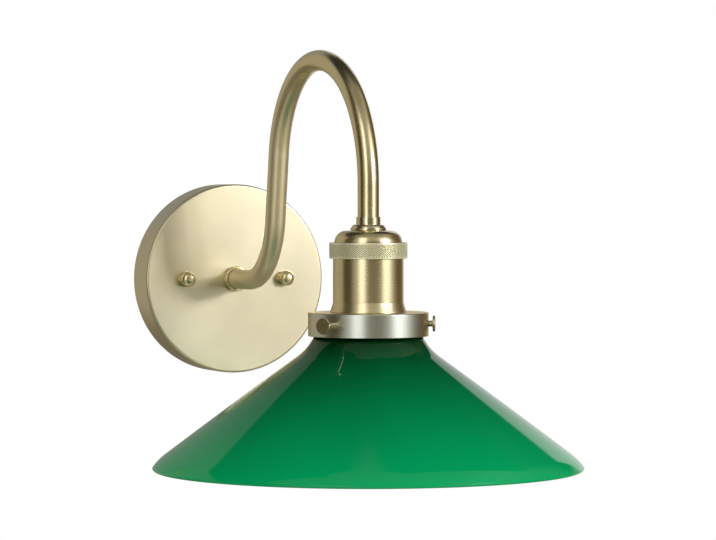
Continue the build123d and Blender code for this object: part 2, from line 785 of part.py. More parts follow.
def all_parts():
    """Every node's name and its solid or solids."""
    return {
        "canopy": make_canopy(),
        "mounting_plate": make_mounting_plate(),
        "canopy_studs": make_canopy_studs(),
        "cap_nut_left": make_cap_nut(-1),
        "cap_nut_right": make_cap_nut(1),
        "ground_screw": make_ground_screw(),
        "ground_wire": make_ground_wire(),
        "arm_nipple": make_arm_nipple(),
        "canopy_washer": make_canopy_washer(),
        "canopy_lock_nut": make_canopy_lock_nut(),
        "arm_collar": make_arm_collar(),
        "arm_tube": make_arm_tube(),
        "line_wire": make_lead_wire(1),
        "neutral_wire": make_lead_wire(-1),
        "socket_coupling": make_socket_coupling(),
        "socket_nipple": make_socket_nipple(),
        "socket_lock_nut": make_socket_lock_nut(),
        "socket_cap": make_socket_cap(),
        "socket_strap": make_socket_strap(),
        "strap_screws": make_strap_screws(),
        "knurled_ring": make_knurled_ring(),
        "socket_shell": make_socket_shell(),
        "socket_insulator": make_socket_insulator(),
        "screw_shell": make_screw_shell(),
        "centre_contact": make_centre_contact(),
        "hot_terminal_screw": make_terminal_screw(1),
        "neutral_terminal_screw": make_terminal_screw(-1),
        "shade_holder": make_shade_holder(),
        "holder_ring": make_holder_ring(),
        "thumb_screw_left": make_thumb_screw(0, left_screw_backed_out, left_slot_turn),
        "thumb_screw_right": make_thumb_screw(1, 0, right_slot_turn),
        "thumb_screw_rear": make_thumb_screw(2, 0, rear_slot_turn),
        "glass_shade": make_glass_shade(),
    }


os.makedirs("parts", exist_ok=True)
for name, shape in all_parts().items():
    node = Compound(children=shape) if isinstance(shape, list) else shape
    export_step(node, "parts/" + name + ".step")
print("socket axis at y", round(-socket_reach, 2), "coupling top", round(coupling_top, 2))
print("holder", round(holder_top, 2), round(holder_bottom, 2), "glass", round(glass_top, 2))
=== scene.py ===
import json
import math

import bpy
from mathutils import Matrix, Vector


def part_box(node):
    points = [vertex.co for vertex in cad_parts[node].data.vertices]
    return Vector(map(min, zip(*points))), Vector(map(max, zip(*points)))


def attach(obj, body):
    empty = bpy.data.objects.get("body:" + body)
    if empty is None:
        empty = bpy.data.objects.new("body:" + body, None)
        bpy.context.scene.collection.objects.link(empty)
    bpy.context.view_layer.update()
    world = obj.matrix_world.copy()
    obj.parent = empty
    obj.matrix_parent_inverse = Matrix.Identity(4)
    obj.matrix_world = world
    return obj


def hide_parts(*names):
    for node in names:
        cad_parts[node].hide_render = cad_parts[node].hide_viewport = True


bl_info = {
    "name": "Gooseneck wall light",
    "version": (1, 0, 0),
    "blender": (4, 5, 0),
    "location": "View3D > Sidebar > Wall light",
    "description": "Dresses the wall light's frame with its turned, bent and blown pieces",
    "category": "Add Mesh",
}

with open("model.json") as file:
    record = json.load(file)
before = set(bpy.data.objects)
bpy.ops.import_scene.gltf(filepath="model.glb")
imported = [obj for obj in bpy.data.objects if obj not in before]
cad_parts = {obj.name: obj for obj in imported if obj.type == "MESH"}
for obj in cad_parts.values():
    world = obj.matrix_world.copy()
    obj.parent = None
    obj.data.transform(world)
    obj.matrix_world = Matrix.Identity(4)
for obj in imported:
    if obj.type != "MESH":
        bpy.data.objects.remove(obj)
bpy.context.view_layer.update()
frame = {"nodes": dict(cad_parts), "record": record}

MM = 0.001
MICRON = 0.000001
PLAY = 0.1 * MM  # gap round a piece that turns or lifts off
CLOSE_PLAY = 0.05 * MM  # gap round a piece that slides in
MERGE_WITHIN = MM / 1000
OUTWARD = (math.radians(90), 0, 0)  # turns what was made upright out from the wall


# ---- places read from the frame ----
def radius_of(node):
    """Half of a turned node's width along X."""
    low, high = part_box(node)
    return (high.x - low.x) / 2


def middle_of(node):
    """Centre of a node's box."""
    low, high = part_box(node)
    return (low + high) / 2


def depth_of(node):
    """How far a node reaches along Y."""
    low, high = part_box(node)
    return high.y - low.y


def bottom_of(node):
    """Height of a node's lowest point."""
    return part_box(node)[0].z


def top_of(node):
    """Height of a node's highest point."""
    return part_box(node)[1].z


SOCKET_AXIS = middle_of("socket_shell").xy.to_3d()
CANOPY_FRONT = -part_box("canopy")[0].y
HAZE_ALONG_ARM = (-0.16, -0.09)  # Y where the tube's finish starts to haze, and is hazy


# ---- sizes and colours that a user would change ----
def length(name, millimetres, description):
    """Length property whose default is given in millimetres."""
    return bpy.props.FloatProperty(
        name=name, description=description, default=millimetres * MM, min=0, precision=5,
        unit="LENGTH")


def angle(name, degrees, description):
    """Angle property whose default is given in degrees."""
    return bpy.props.FloatProperty(
        name=name, description=description, default=math.radians(degrees), subtype="ANGLE")


def share(name, value, description):
    """Plain number between 0 and 1."""
    return bpy.props.FloatProperty(
        name=name, description=description, default=value, min=0, max=1, subtype="FACTOR")


def level(name, value, description):
    """Light level, where 1 is white."""
    return bpy.props.FloatProperty(name=name, description=description, default=value, min=0)


def colour(name, red, green, blue, description):
    """Linear colour property."""
    return bpy.props.FloatVectorProperty(
        name=name, description=description, default=(red, green, blue), min=0, max=1,
        subtype="COLOR")


class CanopySizes(bpy.types.PropertyGroup):
    """Sizes of the round canopy and what sits on its face."""
    wall: length("Wall", 1.2, "Thickness of the spun metal")
    edge: length("Edge radius", 1.4, "Rounding between the face and the side")
    rim: length("Rim rounding", 0.3, "Rounding of the rim on the wall")
    bore: length("Bore radius", 5.1, "Hole for the arm's threaded pipe")
    stud_hole: length("Stud hole radius", 2.4, "Hole for each stud")
    nut_barrel: length("Nut barrel", 4.2, "Straight part of a cap nut under its dome")
    nut_bore: length("Nut bore radius", 2.3, "Bore of a cap nut")
    nut_bore_depth: length("Nut bore depth", 5.9, "Depth of a cap nut's bore")
    collar_floor: length("Collar floor", 1.0, "Metal between the canopy and the tube's end")
    collar_gap: length("Collar gap", 0.1, "Gap between tube and collar")


class ArmSizes(bpy.types.PropertyGroup):
    """Line of the bent tube, from the wall to the socket."""
    stub: length("Stub", 49.2, "Reach from the wall to the first bend")
    lower_bend: length("Lower bend", 43.9, "Radius of the first bend")
    lean: angle("Rear leg lean", 8.0, "How far the rear leg leans out from upright")
    rear_leg: length("Rear leg", 43.2, "Straight length behind the arch")
    rear_arch: length("Rear arch", 64.6, "Radius of the arch's rear half")
    front_arch: length("Front arch", 75.2, "Radius of the arch's front half")
    front_leg: length("Front leg", 22.0, "Straight length above the socket")
    tube: length("Tube radius", 6.35, "Outer radius of the tube")


class SocketSizes(bpy.types.PropertyGroup):
    """Sizes of the turned stack that holds the lamp."""
    neck_radius: length("Neck radius", 7.15, "Radius of the coupling's neck")
    neck: length("Neck", 4.4, "Length of the coupling's neck")
    flare: length("Coupling flare", 2.0, "Height of the coupling's concave flare")
    grip: length("Grip", 3.0, "How far the tube reaches into the coupling")
    pipe_bore: length("Pipe bore", 5.1, "Radius of the hole for the threaded pipe")
    dome_radius: length("Dome rounding", 7.0, "Rounding of the cap's shoulder")
    cap_wall: length("Cap wall", 0.8, "Thickness of the cap")
    knurl_width: length("Knurl width", 1.75, "Width of the knurl's diamonds")
    knurl_height: length("Knurl height", 1.35, "Height of the knurl's diamonds")
    knurl_depth: length("Knurl depth", 0.34, "Depth of the knurl's grooves")
    ring_border: length("Ring border", 0.75, "Plain edge above and below the knurl")
    shell_wall: length("Shell wall", 0.7, "Thickness of the socket's shell")
    shell_radius: length("Shell radius", 20.8, "Outer radius of the socket's shell")
    foot_flare: length("Foot flare", 6.2, "Height of the flared foot")
    tail_radius: length("Tail radius", 19.8, "Radius of the tail through the holder")
    tail_wall: length("Tail wall", 0.8, "Thickness of the tail")
    thread_pitch: length("Thread pitch", 3.63, "Pitch of the lamp's thread")
    thread_depth: length("Thread depth", 0.45, "Depth of the rolled thread")


class HolderSizes(bpy.types.PropertyGroup):
    """Sizes of the shade holder and its thumb screws."""
    wall: length("Wall", 1.2, "Thickness of the holder")
    edge: length("Edge radius", 0.8, "Rounding of the holder's upper edge")
    bore: length("Bore radius", 19.85, "Hole for the shell's tail")
    first_screw: angle("First screw", -57.5, "Turn of the left thumb screw about the socket's axis")
    screw_radius: length("Screw radius", 1.75, "Radius of a thumb screw's shank")
    screw_drop: length("Screw drop", 6.6, "Depth of the screws under the holder's top")
    screw_length: length("Screw length", 12.7, "Length of a thumb screw's shank")
    head_radius: length("Head radius", 4.7, "Radius of a thumb screw's head")
    head: length("Head", 1.3, "Thickness of a thumb screw's head")
    slot_width: length("Slot width", 1.2, "Width of the slot")
    slot_depth: length("Slot depth", 0.6, "Depth of the slot")


class ShadeSizes(bpy.types.PropertyGroup):
    """Sizes of the blown glass cone, drops counted from the holder's top."""
    wall: length("Wall", 3.4, "Thickness of the glass")
    lip_radius: length("Lip radius", 28.575, "Outer radius of the fitter's lip")
    lip: length("Lip height", 2.4, "Height of the fitter's lip")
    neck_radius: length("Neck radius", 25.0, "Outer radius of the fitter's neck")
    neck: length("Neck height", 7.6, "Height from the top to the neck's end")
    collar_radius: length("Collar radius", 32.0, "Radius where the cone leaves the holder")
    collar_drop: length("Collar drop", 14.2, "Depth of the collar")
    cone_radius: length("Cone top radius", 41.6, "Radius where the straight cone begins")
    cone_drop: length("Cone top drop", 25.8, "Depth where the straight cone begins")
    rim_drop: length("Rim drop", 91.1, "Depth of the widest ring")
    edge_width: length("Edge width", 7.5, "Width of the turned-down edge")
    edge_drop: length("Edge drop", 7.6, "Height of the turned-down edge")
    bulge: length("Cone bulge", 0.25, "How far the cone's side swells out from straight")
    edge_swell: length("Edge swell", 0.42, "How far the edge swells out from straight")


class Finishes(bpy.types.PropertyGroup):
    """Colours and gloss of the surfaces."""
    brass: colour("Satin brass", 0.86, 0.755, 0.48, "Lacquered satin brass")
    pale_brass: colour("Pale brass", 0.80, 0.74, 0.53, "Coupling under the tube")
    painted_groove_shade: colour("Groove brass", 0.40, 0.35, 0.18, "Lacquer in the grooves")
    # Painted shade for the knurl's grooves, though its description calls it lacquer.
    knurl_brass: colour("Knurled brass", 1.0, 0.96, 0.70, "Knurled ring")
    holder_brass: colour("Holder", 0.74, 0.78, 0.72, "Shade holder")
    holder_edge: colour("Holder's edge", 0.95, 0.72, 0.42, "Shade holder seen at a slant")
    canopy_brass: colour("Canopy brass", 0.80, 0.73, 0.53, "Canopy")
    brass_roughness: share("Brass roughness", 0.25, "Roughness of the satin brass")
    # This colour and the next are the ends of a painted gradient: painted light at the rim and
    # painted shade near the neck under the holder, only partly from thicker glass.
    glass: colour("Green glass", 0.0, 0.40, 0.125, "Outside of the shade at its rim")
    painted_shade_glass: colour("Thick green glass", 0.0, 0.02, 0.003, "Shade where its glass is thick")
    opal: colour("Opal glass", 0.86, 0.88, 0.84, "Inside of the shade")
    steel: colour("Plated steel", 0.62, 0.63, 0.64, "Plate, studs, nuts and strap")
    porcelain: colour("Porcelain", 0.88, 0.87, 0.83, "Socket's insulator")


class Studio(bpy.types.PropertyGroup):
    """Camera and lights."""
    azimuth: angle("Camera azimuth", -23.5, "Turn of the camera about the light")
    elevation: angle("Camera elevation", 1.54, "Height of the camera above level")
    distance: length("Camera distance", 2079, "From the camera to its aim")
    aim: bpy.props.FloatVectorProperty(
        name="Aim", description="Point in the middle of the view",
        default=(0.0267, -0.1612, 0.0086), subtype="XYZ", unit="LENGTH")
    lens: bpy.props.FloatProperty(
        name="Lens", description="Focal length in millimetres", default=170.95, unit="CAMERA")
    fill: level("Fill", 0.45, "Even light of the room on matt surfaces")
    walls: colour("Walls", 0.36, 0.34, 0.28, "Walls of the room as shiny surfaces show them")
    floor: colour("Floor", 0.82, 0.82, 0.82, "Pale floor")
    floor_height: bpy.props.FloatProperty(
        name="Floor height", description="Height of the floor", default=-0.34, unit="LENGTH")


# ---- shader sheets ----
NOISE_RANGE = (0.3, 0.7)  # nearly all values of a noise lie in it


class Wire:
    """One output of a shader node. Python's operators on it add Math nodes."""

    def __init__(self, sheet, socket):
        self.sheet = sheet
        self.socket = socket

    def math(self, operation, *values):
        return self.sheet.add("ShaderNodeMath", {"operation": operation}, dict(enumerate(values)))

    def __add__(self, other):
        return self.math("ADD", self, other)

    def __sub__(self, other):
        return self.math("SUBTRACT", self, other)

    def __rsub__(self, other):
        return self.math("SUBTRACT", other, self)

    def __mul__(self, other):
        return self.math("MULTIPLY", self, other)

    def __truediv__(self, other):
        return self.math("DIVIDE", self, other)

    def __pow__(self, other):
        return self.math("POWER", self, other)

    def __neg__(self):
        return self.math("MULTIPLY", self, -1.0)

    __radd__ = __add__
    __rmul__ = __mul__

    def clamped(self):
        return self.math("MINIMUM", self.math("MAXIMUM", self, 0.0), 1.0)


class Sheet:
    """Node tree of one material or of the world."""

    def __init__(self, owner):
        owner.use_nodes = True
        self.tree = owner.node_tree
        self.tree.nodes.clear()

    def add(self, kind, settings=None, sockets=None, output=0):
        """New node: its settings first, then its sockets' values or links. Returns one output."""
        node = self.tree.nodes.new(kind)
        for name, value in (settings or {}).items():
            setattr(node, name, value)
        for name, value in (sockets or {}).items():
            if isinstance(value, Wire):
                self.tree.links.new(value.socket, node.inputs[name])
            else:
                node.inputs[name].default_value = value
        return Wire(self, node.outputs[output]) if node.outputs else None

    def place(self, centre=(0, 0, 0)):
        """Object coordinates as three wires, counted from a centre."""
        point = self.add("ShaderNodeTexCoord", output="Object")
        sockets = {0: point, 1: tuple(centre)}
        point = self.add("ShaderNodeVectorMath", {"operation": "SUBTRACT"}, sockets)
        sockets = {0: point}
        return [self.add("ShaderNodeSeparateXYZ", sockets=sockets, output=axis) for axis in "XYZ"]

    def dot(self, vector, other):
        """Dot product of two vectors."""
        sockets = {0: vector, 1: other}
        return self.add("ShaderNodeVectorMath", {"operation": "DOT_PRODUCT"}, sockets, "Value")

    def noise(self, place, scale, detail=2.0, roughness=0.5, distortion=0.0):
        """Noise at a place of three wires, its scale counted to the metre."""
        sockets = {
            "Vector": self.add("ShaderNodeCombineXYZ", sockets=dict(enumerate(place))),
            "Scale": scale,
            "Detail": detail,
            "Roughness": roughness,
            "Distortion": distortion,
        }
        return self.add("ShaderNodeTexNoise", sockets=sockets)

    def spread(self, value, low, high, start, end):
        """Value taken from the range start-end to the range low-high, held at its ends."""
        sockets = {
            "Value": value,
            "From Min": start,
            "From Max": end,
            "To Min": low,
            "To Max": high,
        }
        return self.add("ShaderNodeMapRange", {"clamp": True}, sockets)

    def stretched(self, noise, low, high):
        """Noise taken from its usual range to the range low-high."""
        return self.spread(noise, low, high, *NOISE_RANGE)

    def mix(self, factor, first, second):
        """Colour between two colours."""
        sockets = {0: factor, 6: opaque(first), 7: opaque(second)}
        return self.add("ShaderNodeMix", {"data_type": "RGBA"}, sockets, output=2)

    def mix_shaders(self, factor, first, second):
        """Shader between two shaders."""
        return self.add("ShaderNodeMixShader", sockets={0: factor, 1: first, 2: second})

    def glow(self, kind, tone, strength=1.0):
        """Background or emission of a colour."""
        return self.add(kind, sockets={"Color": opaque(tone), "Strength": strength})

    def bump(self, height, distance):
        """Normal over a height, whose full range stands for a distance in metres."""
        sockets = {"Height": height, "Distance": distance, "Strength": 1.0}
        return self.add("ShaderNodeBump", sockets=sockets, output="Normal")

    def surface(self, **sockets):
        """Principled surface as the material's output. Underscores in a name stand for spaces."""
        named = {name.replace("_", " "): value for name, value in sockets.items()}
        for name in ("Base Color", "Specular Tint"):
            if name in named:
                named[name] = opaque(named[name])
        shader = self.add("ShaderNodeBsdfPrincipled", sockets=named)
        self.add("ShaderNodeOutputMaterial", sockets={"Surface": shader})


def opaque(value):
    """Colour with its fourth number, or a wire as it is."""
    if isinstance(value, Wire) or len(value) == 4:
        return value
    return (*value, 1.0)


def tinted(value, factor):
    """Colour made lighter or darker by a factor."""
    return tuple(min(1.0, part * factor) for part in value)


# ---- finishes: noise scales are counted to the metre ----
FINISHES = {}
RING_PITCH = 0.00014  # metres between the rings that a lathe leaves
RING_WAVER = 12.0  # scale of the rings' unevenness on the way round


def finish(name):
    """Material by its finish's name, made once."""
    if name not in FINISHES:
        FINISHES[name] = bpy.data.materials.new(name)
        MAKERS[name](Sheet(FINISHES[name]), bpy.context.scene.light_finishes)
    return FINISHES[name]


def turned_metal(sheet, tone, roughness, place, ring_depth, slant=(1, 1, 1)):
    """Lathe-finished metal: fine rings, faint clouds and rougher patches where hands have been.
    The place's last wire runs along the axis of turning. Slant is the tint at a low angle."""
    x, y, along = place
    radius = (x * x + y * y) ** 0.5
    around = (x * RING_WAVER, y * RING_WAVER, (along - radius) / RING_PITCH)
    rings = sheet.noise(around, 1.0, detail=3.0, roughness=0.65)
    clouds = sheet.noise(place, 45.0, detail=4.0, roughness=0.6)
    smudges = sheet.noise(place, 14.0, distortion=0.6)
    shade = sheet.stretched(clouds * 0.6 + rings * 0.4, 0.0, 1.0)
    gloss = (roughness - 0.03, roughness + 0.06)
    sheet.surface(
        Base_Color=sheet.mix(shade, tinted(tone, 0.95), tinted(tone, 1.04)),
        Metallic=1.0,
        Roughness=sheet.spread(smudges + rings * 0.5, *gloss, 0.45, 1.05),
        Normal=sheet.bump(rings, ring_depth),
        Specular_Tint=slant,
    )


def make_socket_brass(sheet, finishes):
    """Cap and shell of the socket."""
    place = sheet.place(SOCKET_AXIS)
    turned_metal(sheet, finishes.brass, finishes.brass_roughness, place, 8 * MICRON)


def make_coupling_brass(sheet, finishes):
    """Coupling, a little paler and glossier than the socket."""
    place = sheet.place(SOCKET_AXIS)
    turned_metal(sheet, finishes.pale_brass, finishes.brass_roughness - 0.04, place, 4 * MICRON)


def make_holder_brass(sheet, finishes):
    """Shade holder, greyer face on and warmer at a low angle."""
    place = sheet.place(SOCKET_AXIS)
    roughness = finishes.brass_roughness + 0.04
    edge = tuple(finishes.holder_edge)
    turned_metal(sheet, finishes.holder_brass, roughness, place, 9 * MICRON, slant=edge)


def make_canopy_brass(sheet, finishes):
    """Canopy, turned about the axis that points out from the wall."""
    x, y, z = sheet.place()
    roughness = finishes.brass_roughness + 0.05
    turned_metal(sheet, finishes.canopy_brass, roughness, (x, z, -y), 24 * MICRON)


def make_knurled_brass(sheet, finishes):
    """Pale brass, its knurl's grooves painted darker: painted shade in the grooves."""
    x, y, z = sheet.place(SOCKET_AXIS)
    ring = radius_of("knurled_ring")
    depth = bpy.context.scene.light_socket.knurl_depth
    # 1 on the knurl's crests and 0 in its grooves, where the painted shade goes.
    crest_over_groove_shade = sheet.spread((x * x + y * y) ** 0.5, 0.0, 1.0, ring - depth, ring - depth * 0.3)
    clouds = sheet.noise((x, y, z), 400.0, detail=3.0)
    roughness = finishes.brass_roughness + 0.05
    sheet.surface(
        Base_Color=sheet.mix(crest_over_groove_shade, finishes.painted_groove_shade, finishes.knurl_brass),
        Metallic=0.6,
        Roughness=sheet.stretched(clouds, roughness, roughness + 0.08),
        Normal=sheet.bump(clouds, 4 * MICRON),
    )


def make_tube_brass(sheet, finishes):
    """Drawn tube, rubbed along its length before it was bent, and hazier towards the wall."""
    x, y, z = sheet.place()
    grain = sheet.noise((x * 900.0, y * 60.0, z * 60.0), 1.0, detail=3.0, roughness=0.6)
    clouds = sheet.noise((x, y, z), 30.0, detail=4.0, roughness=0.6)
    haze = sheet.spread(y, 0.0, 1.0, *HAZE_ALONG_ARM)
    roughness = haze * 0.14 + finishes.brass_roughness
    low, high = tinted(finishes.brass, 0.94), tinted(finishes.brass, 1.03)
    sheet.surface(
        Base_Color=sheet.mix(sheet.stretched(clouds, 0.0, 1.0), low, high),
        Metallic=1.0 - haze * 0.25,
        Roughness=roughness + sheet.spread(clouds + grain * 0.4, -0.03, 0.05, 0.4, 1.0),
        Normal=sheet.bump(grain, 12 * MICRON),
    )


def marked(sheet, marks, low, high, gloss, depth, **constants):
    """Surface whose tone, gloss and relief all follow the same marks."""
    sheet.surface(
        Base_Color=sheet.mix(marks, low, high),
        Roughness=sheet.stretched(marks, *gloss),
        Normal=sheet.bump(marks, depth),
        **constants,
    )


def make_polished_brass(sheet, finishes):
    """Small bright fasteners, with faint marks of handling."""
    marks = sheet.noise(sheet.place(), 900.0, detail=3.0)
    low, high = tinted(finishes.brass, 0.92), tinted(finishes.brass, 1.05)
    marked(sheet, marks, low, high, (0.22, 0.32), 4 * MICRON, Metallic=1.0)


def make_dark_brass(sheet, finishes):
    """Thumb screws, darker than the satin brass, with faint random marks."""
    marks = sheet.noise(sheet.place(), 700.0, detail=4.0, roughness=0.6)
    low, high = tinted(finishes.brass, 0.62), tinted(finishes.brass, 0.86)
    marked(sheet, marks, low, high, (0.3, 0.42), 2 * MICRON, Metallic=1.0)


def make_worn_and_lit_slot_brass(sheet, finishes):
    """Bare brass where a screwdriver turns, painted lighter than the head: wear and a painted
    highlight along the slot.
    """
    marks = sheet.noise(sheet.place(), 1500.0, detail=3.0)
    low, high = tinted(finishes.brass, 0.85), tinted(finishes.brass, 1.05)
    marked(sheet, marks, low, high, (0.5, 0.7), 10 * MICRON, Metallic=1.0)


def make_pressed_brass(sheet, finishes):
    """Pressed brass inside the socket."""
    marks = sheet.noise(sheet.place(SOCKET_AXIS), 500.0, detail=3.0)
    low, high = (0.66, 0.50, 0.24), (0.80, 0.64, 0.34)
    marked(sheet, marks, low, high, (0.16, 0.3), 6 * MICRON, Metallic=1.0)


def make_green_glass(sheet, finishes):
    """Cased glass, fire-polished, with faint drawn waves: painted shade near the neck and painted
    light toward the rim, only partly from thicker glass near the neck.
    """
    x, y, z = sheet.place(SOCKET_AXIS)
    rim = bottom_of("glass_shade")
    collar = bottom_of("shade_holder")
    streaks = sheet.noise((x, y, z * 0.35), 22.0, detail=3.0)
    wander = 12 * MM
    # Painted gradient from shade at the collar to light at the rim, its edge wavering with the
    # streaks.
    painted_light_to_rim = sheet.spread(z + (streaks - 0.5) * wander, 1.0, 0.0, rim, collar)
    waves = sheet.noise((x, y, z * 0.5), 16.0, detail=1.0)
    sheet.surface(
        Base_Color=sheet.mix(painted_light_to_rim, finishes.painted_shade_glass, finishes.glass),
        Roughness=sheet.stretched(streaks, 0.03, 0.06),
        Normal=sheet.bump(waves, 200 * MICRON),
        IOR=1.45,
    )


def make_opal_glass(sheet, finishes):
    """White inner casing, with a faint cloudiness."""
    clouds = sheet.noise(sheet.place(SOCKET_AXIS), 18.0, detail=3.0)
    low, high = tinted(finishes.opal, 0.96), finishes.opal
    marked(sheet, clouds, low, high, (0.08, 0.14), 200 * MICRON,
           IOR=1.5, Coat_Weight=0.5, Coat_Roughness=0.05)


def make_zinc_plate(sheet, finishes):
    """Zinc plate: faint spangle and a soft grey sheen."""
    place = sheet.place()
    grain = sheet.noise(place, 420.0, detail=4.0, roughness=0.7)
    spots = sheet.noise(place, 90.0, detail=3.0)
    sheet.surface(
        Base_Color=sheet.mix(spots, tinted(finishes.steel, 0.9), tinted(finishes.steel, 1.08)),
        Metallic=1.0,
        Roughness=sheet.stretched(grain, 0.28, 0.44),
        Normal=sheet.bump(grain, 15 * MICRON),
    )


def make_glazed_porcelain(sheet, finishes):
    """Glazed porcelain with small specks."""
    place = sheet.place(SOCKET_AXIS)
    specks = sheet.spread(sheet.noise(place, 1500.0, detail=1.0), 0.0, 1.0, 0.70, 0.74)
    waves = sheet.noise(place, 240.0)
    sheet.surface(
        Base_Color=sheet.mix(specks, finishes.porcelain, (0.42, 0.38, 0.32)),
        Roughness=sheet.stretched(waves, 0.1, 0.18),
        Normal=sheet.bump(waves, 40 * MICRON),
        Coat_Weight=0.4,
        Coat_Roughness=0.08,
    )


def insulated(low, high):
    """Maker of an extruded wire cover between two tones."""
    def make(sheet, finishes):
        grain = sheet.noise(sheet.place(), 800.0, detail=3.0)
        marked(sheet, grain, low, high, (0.4, 0.55), 20 * MICRON)
    return make


MAKERS = {
    "socket_brass": make_socket_brass,
    "coupling_brass": make_coupling_brass,
    "knurled_brass": make_knurled_brass,
    "spun_holder": make_holder_brass,
    "canopy_brass": make_canopy_brass,
    "tube_brass": make_tube_brass,
    "polished_brass": make_polished_brass,
    "dark_brass": make_dark_brass,
    "worn_and_lit_slot_brass": make_worn_and_lit_slot_brass,
    "pressed_brass": make_pressed_brass,
    "cased_green": make_green_glass,
    "opal_glass": make_opal_glass,
    "zinc_plate": make_zinc_plate,
    "glazed_porcelain": make_glazed_porcelain,
    "black_cover": insulated((0.012, 0.012, 0.012), (0.03, 0.03, 0.03)),
    "white_cover": insulated((0.72, 0.72, 0.69), (0.82, 0.82, 0.79)),
    "green_cover": insulated((0.02, 0.22, 0.07), (0.04, 0.32, 0.1)),
}


# ---- modelling by operators ----
def rounded(outline, steps=6):
    """Outline of (radius, height) or (radius, height, rounding) corners as plain points, each
    rounding an arc of short steps."""
    corners = [Vector(corner[:2]) for corner in outline]
    points = []
    for index, corner in enumerate(corners):
        rounding = outline[index][2] if len(outline[index]) > 2 else 0
        if rounding == 0:
            points.append(tuple(corner))
            continue
        back = (corners[index - 1] - corner).normalized()
        ahead = (corners[(index + 1) % len(corners)] - corner).normalized()
        half = back.angle(ahead) / 2
        reach = rounding / math.tan(half)
        centre = corner + (back + ahead).normalized() * (rounding / math.sin(half))
        first = corner + back * reach - centre
        last = corner + ahead * reach - centre
        for step in range(steps + 1):
            arm = first.slerp(last, step / steps).normalized() * rounding
            points.append(tuple(centre + arm))
    return points


def bowed(start, end, swell, steps):
    """Points after start up to end on a line that swells to its left by the given height."""
    first = Vector(start)
    last = Vector(end)
    side = (last - first).orthogonal().normalized()
    points = []
    for step in range(1, steps + 1):
        part = step / steps
        bow = 4 * swell * part * (1 - part)
        points.append(tuple(first.lerp(last, part) + side * bow))
    return points


def pick(piece):
    """Selects this piece alone and makes it the active one."""
    bpy.ops.object.select_all(action="DESELECT")
    piece.select_set(True)
    bpy.context.view_layer.objects.active = piece


def edit(piece):
    """Only this piece is selected and open in edit mode, with all of it selected."""
    pick(piece)
    bpy.ops.object.mode_set(mode="EDIT")
    bpy.ops.mesh.select_all(action="SELECT")


def open_ring(name, around, radius, location, rotation=(0, 0, 0)):
    """New circle with its place in its mesh, open in edit mode and selected."""
    bpy.ops.object.select_all(action="DESELECT")
    bpy.ops.mesh.primitive_circle_add(
        vertices=around, radius=radius, location=location, rotation=rotation)
    ring = bpy.context.active_object
    ring.name = name
    bpy.ops.object.transform_apply(location=True, rotation=True, scale=True)
    edit(ring)
    return ring


def move_ring(ring, target):
    """Extrudes the selected ring from one (radius, height) to the next."""
    bpy.ops.mesh.extrude_region()
    if target[0] == 0:
        bpy.ops.mesh.merge(type="CENTER")
    if target[1] != ring[1]:
        bpy.ops.transform.translate(value=(0, 0, target[1] - ring[1]))
    if target[0] not in (0, ring[0]):
        scale = target[0] / ring[0]
        bpy.ops.transform.resize(value=(scale, scale, 1), center_override=(0, 0, target[1]))


def merge_doubles():
    """Makes one point of those that meet in the open piece."""
    bpy.ops.mesh.select_all(action="SELECT")
    bpy.ops.mesh.remove_doubles(threshold=MERGE_WITHIN)


def close_ends():
    """Fills every open end of the open piece with a face."""
    bpy.ops.mesh.select_all(action="DESELECT")
    bpy.ops.mesh.select_mode(type="EDGE")
    bpy.ops.mesh.select_non_manifold()
    bpy.ops.mesh.edge_face_add()


def face_outwards():
    """Recalculates the open piece's normals and leaves edit mode."""
    bpy.ops.mesh.select_mode(type="VERT")
    bpy.ops.mesh.select_all(action="SELECT")
    bpy.ops.mesh.normals_make_consistent(inside=False)
    bpy.ops.object.mode_set(mode="OBJECT")


def turned(name, outline, around):
    """Piece turned about the Z axis: a circle extruded along an outline of (radius, height) points.
    It ends on the axis, or closes on its first ring."""
    first = outline[0]
    piece = open_ring(name, around, first[0], (0, 0, first[1]))
    ends_on_axis = outline[-1][0] == 0
    stops = outline if ends_on_axis else outline + [first]
    for ring, target in zip(stops, stops[1:]):
        move_ring(ring, target)
    merge_doubles()
    if ends_on_axis:
        close_ends()
    face_outwards()
    return piece


def apply_modifier(piece, kind, **settings):
    """Adds a modifier with its settings and applies it."""
    pick(piece)
    modifier = piece.modifiers.new(kind.lower(), kind)
    for name, value in settings.items():
        setattr(modifier, name, value)
    bpy.ops.object.modifier_apply(modifier=modifier.name)


def cut(piece, cutter):
    """Takes the cutter's shape out of the piece and removes the cutter."""
    apply_modifier(piece, "BOOLEAN", object=cutter, operation="DIFFERENCE", solver="EXACT")
    bpy.data.objects.remove(cutter)


def drill(piece, around, radius, depth, location, rotation=(0, 0, 0)):
    """Takes a round hole out of the piece, centred at a place."""
    bpy.ops.mesh.primitive_cylinder_add(
        vertices=around, radius=radius, depth=depth, location=location, rotation=rotation)
    cut(piece, bpy.context.active_object)


def smooth(piece, degrees=32):
    """Smooth shading with crisp edges and flats that stay flat."""
    pick(piece)
    bpy.ops.object.shade_smooth_by_angle(angle=math.radians(degrees))
    apply_modifier(piece, "WEIGHTED_NORMAL", keep_sharp=True)


def seat(piece, location=(0, 0, 0), rotation=(0, 0, 0)):
    """Puts a piece made about the origin in its place, and the place in its mesh."""
    pick(piece)
    piece.location = location
    piece.rotation_euler = rotation
    bpy.ops.object.transform_apply(location=True, rotation=True, scale=True)


def copied(piece, name):
    """Copy of a piece with its own mesh."""
    pick(piece)
    bpy.ops.object.duplicate(linked=False)
    copy = bpy.context.active_object
    copy.name = name
    return copy


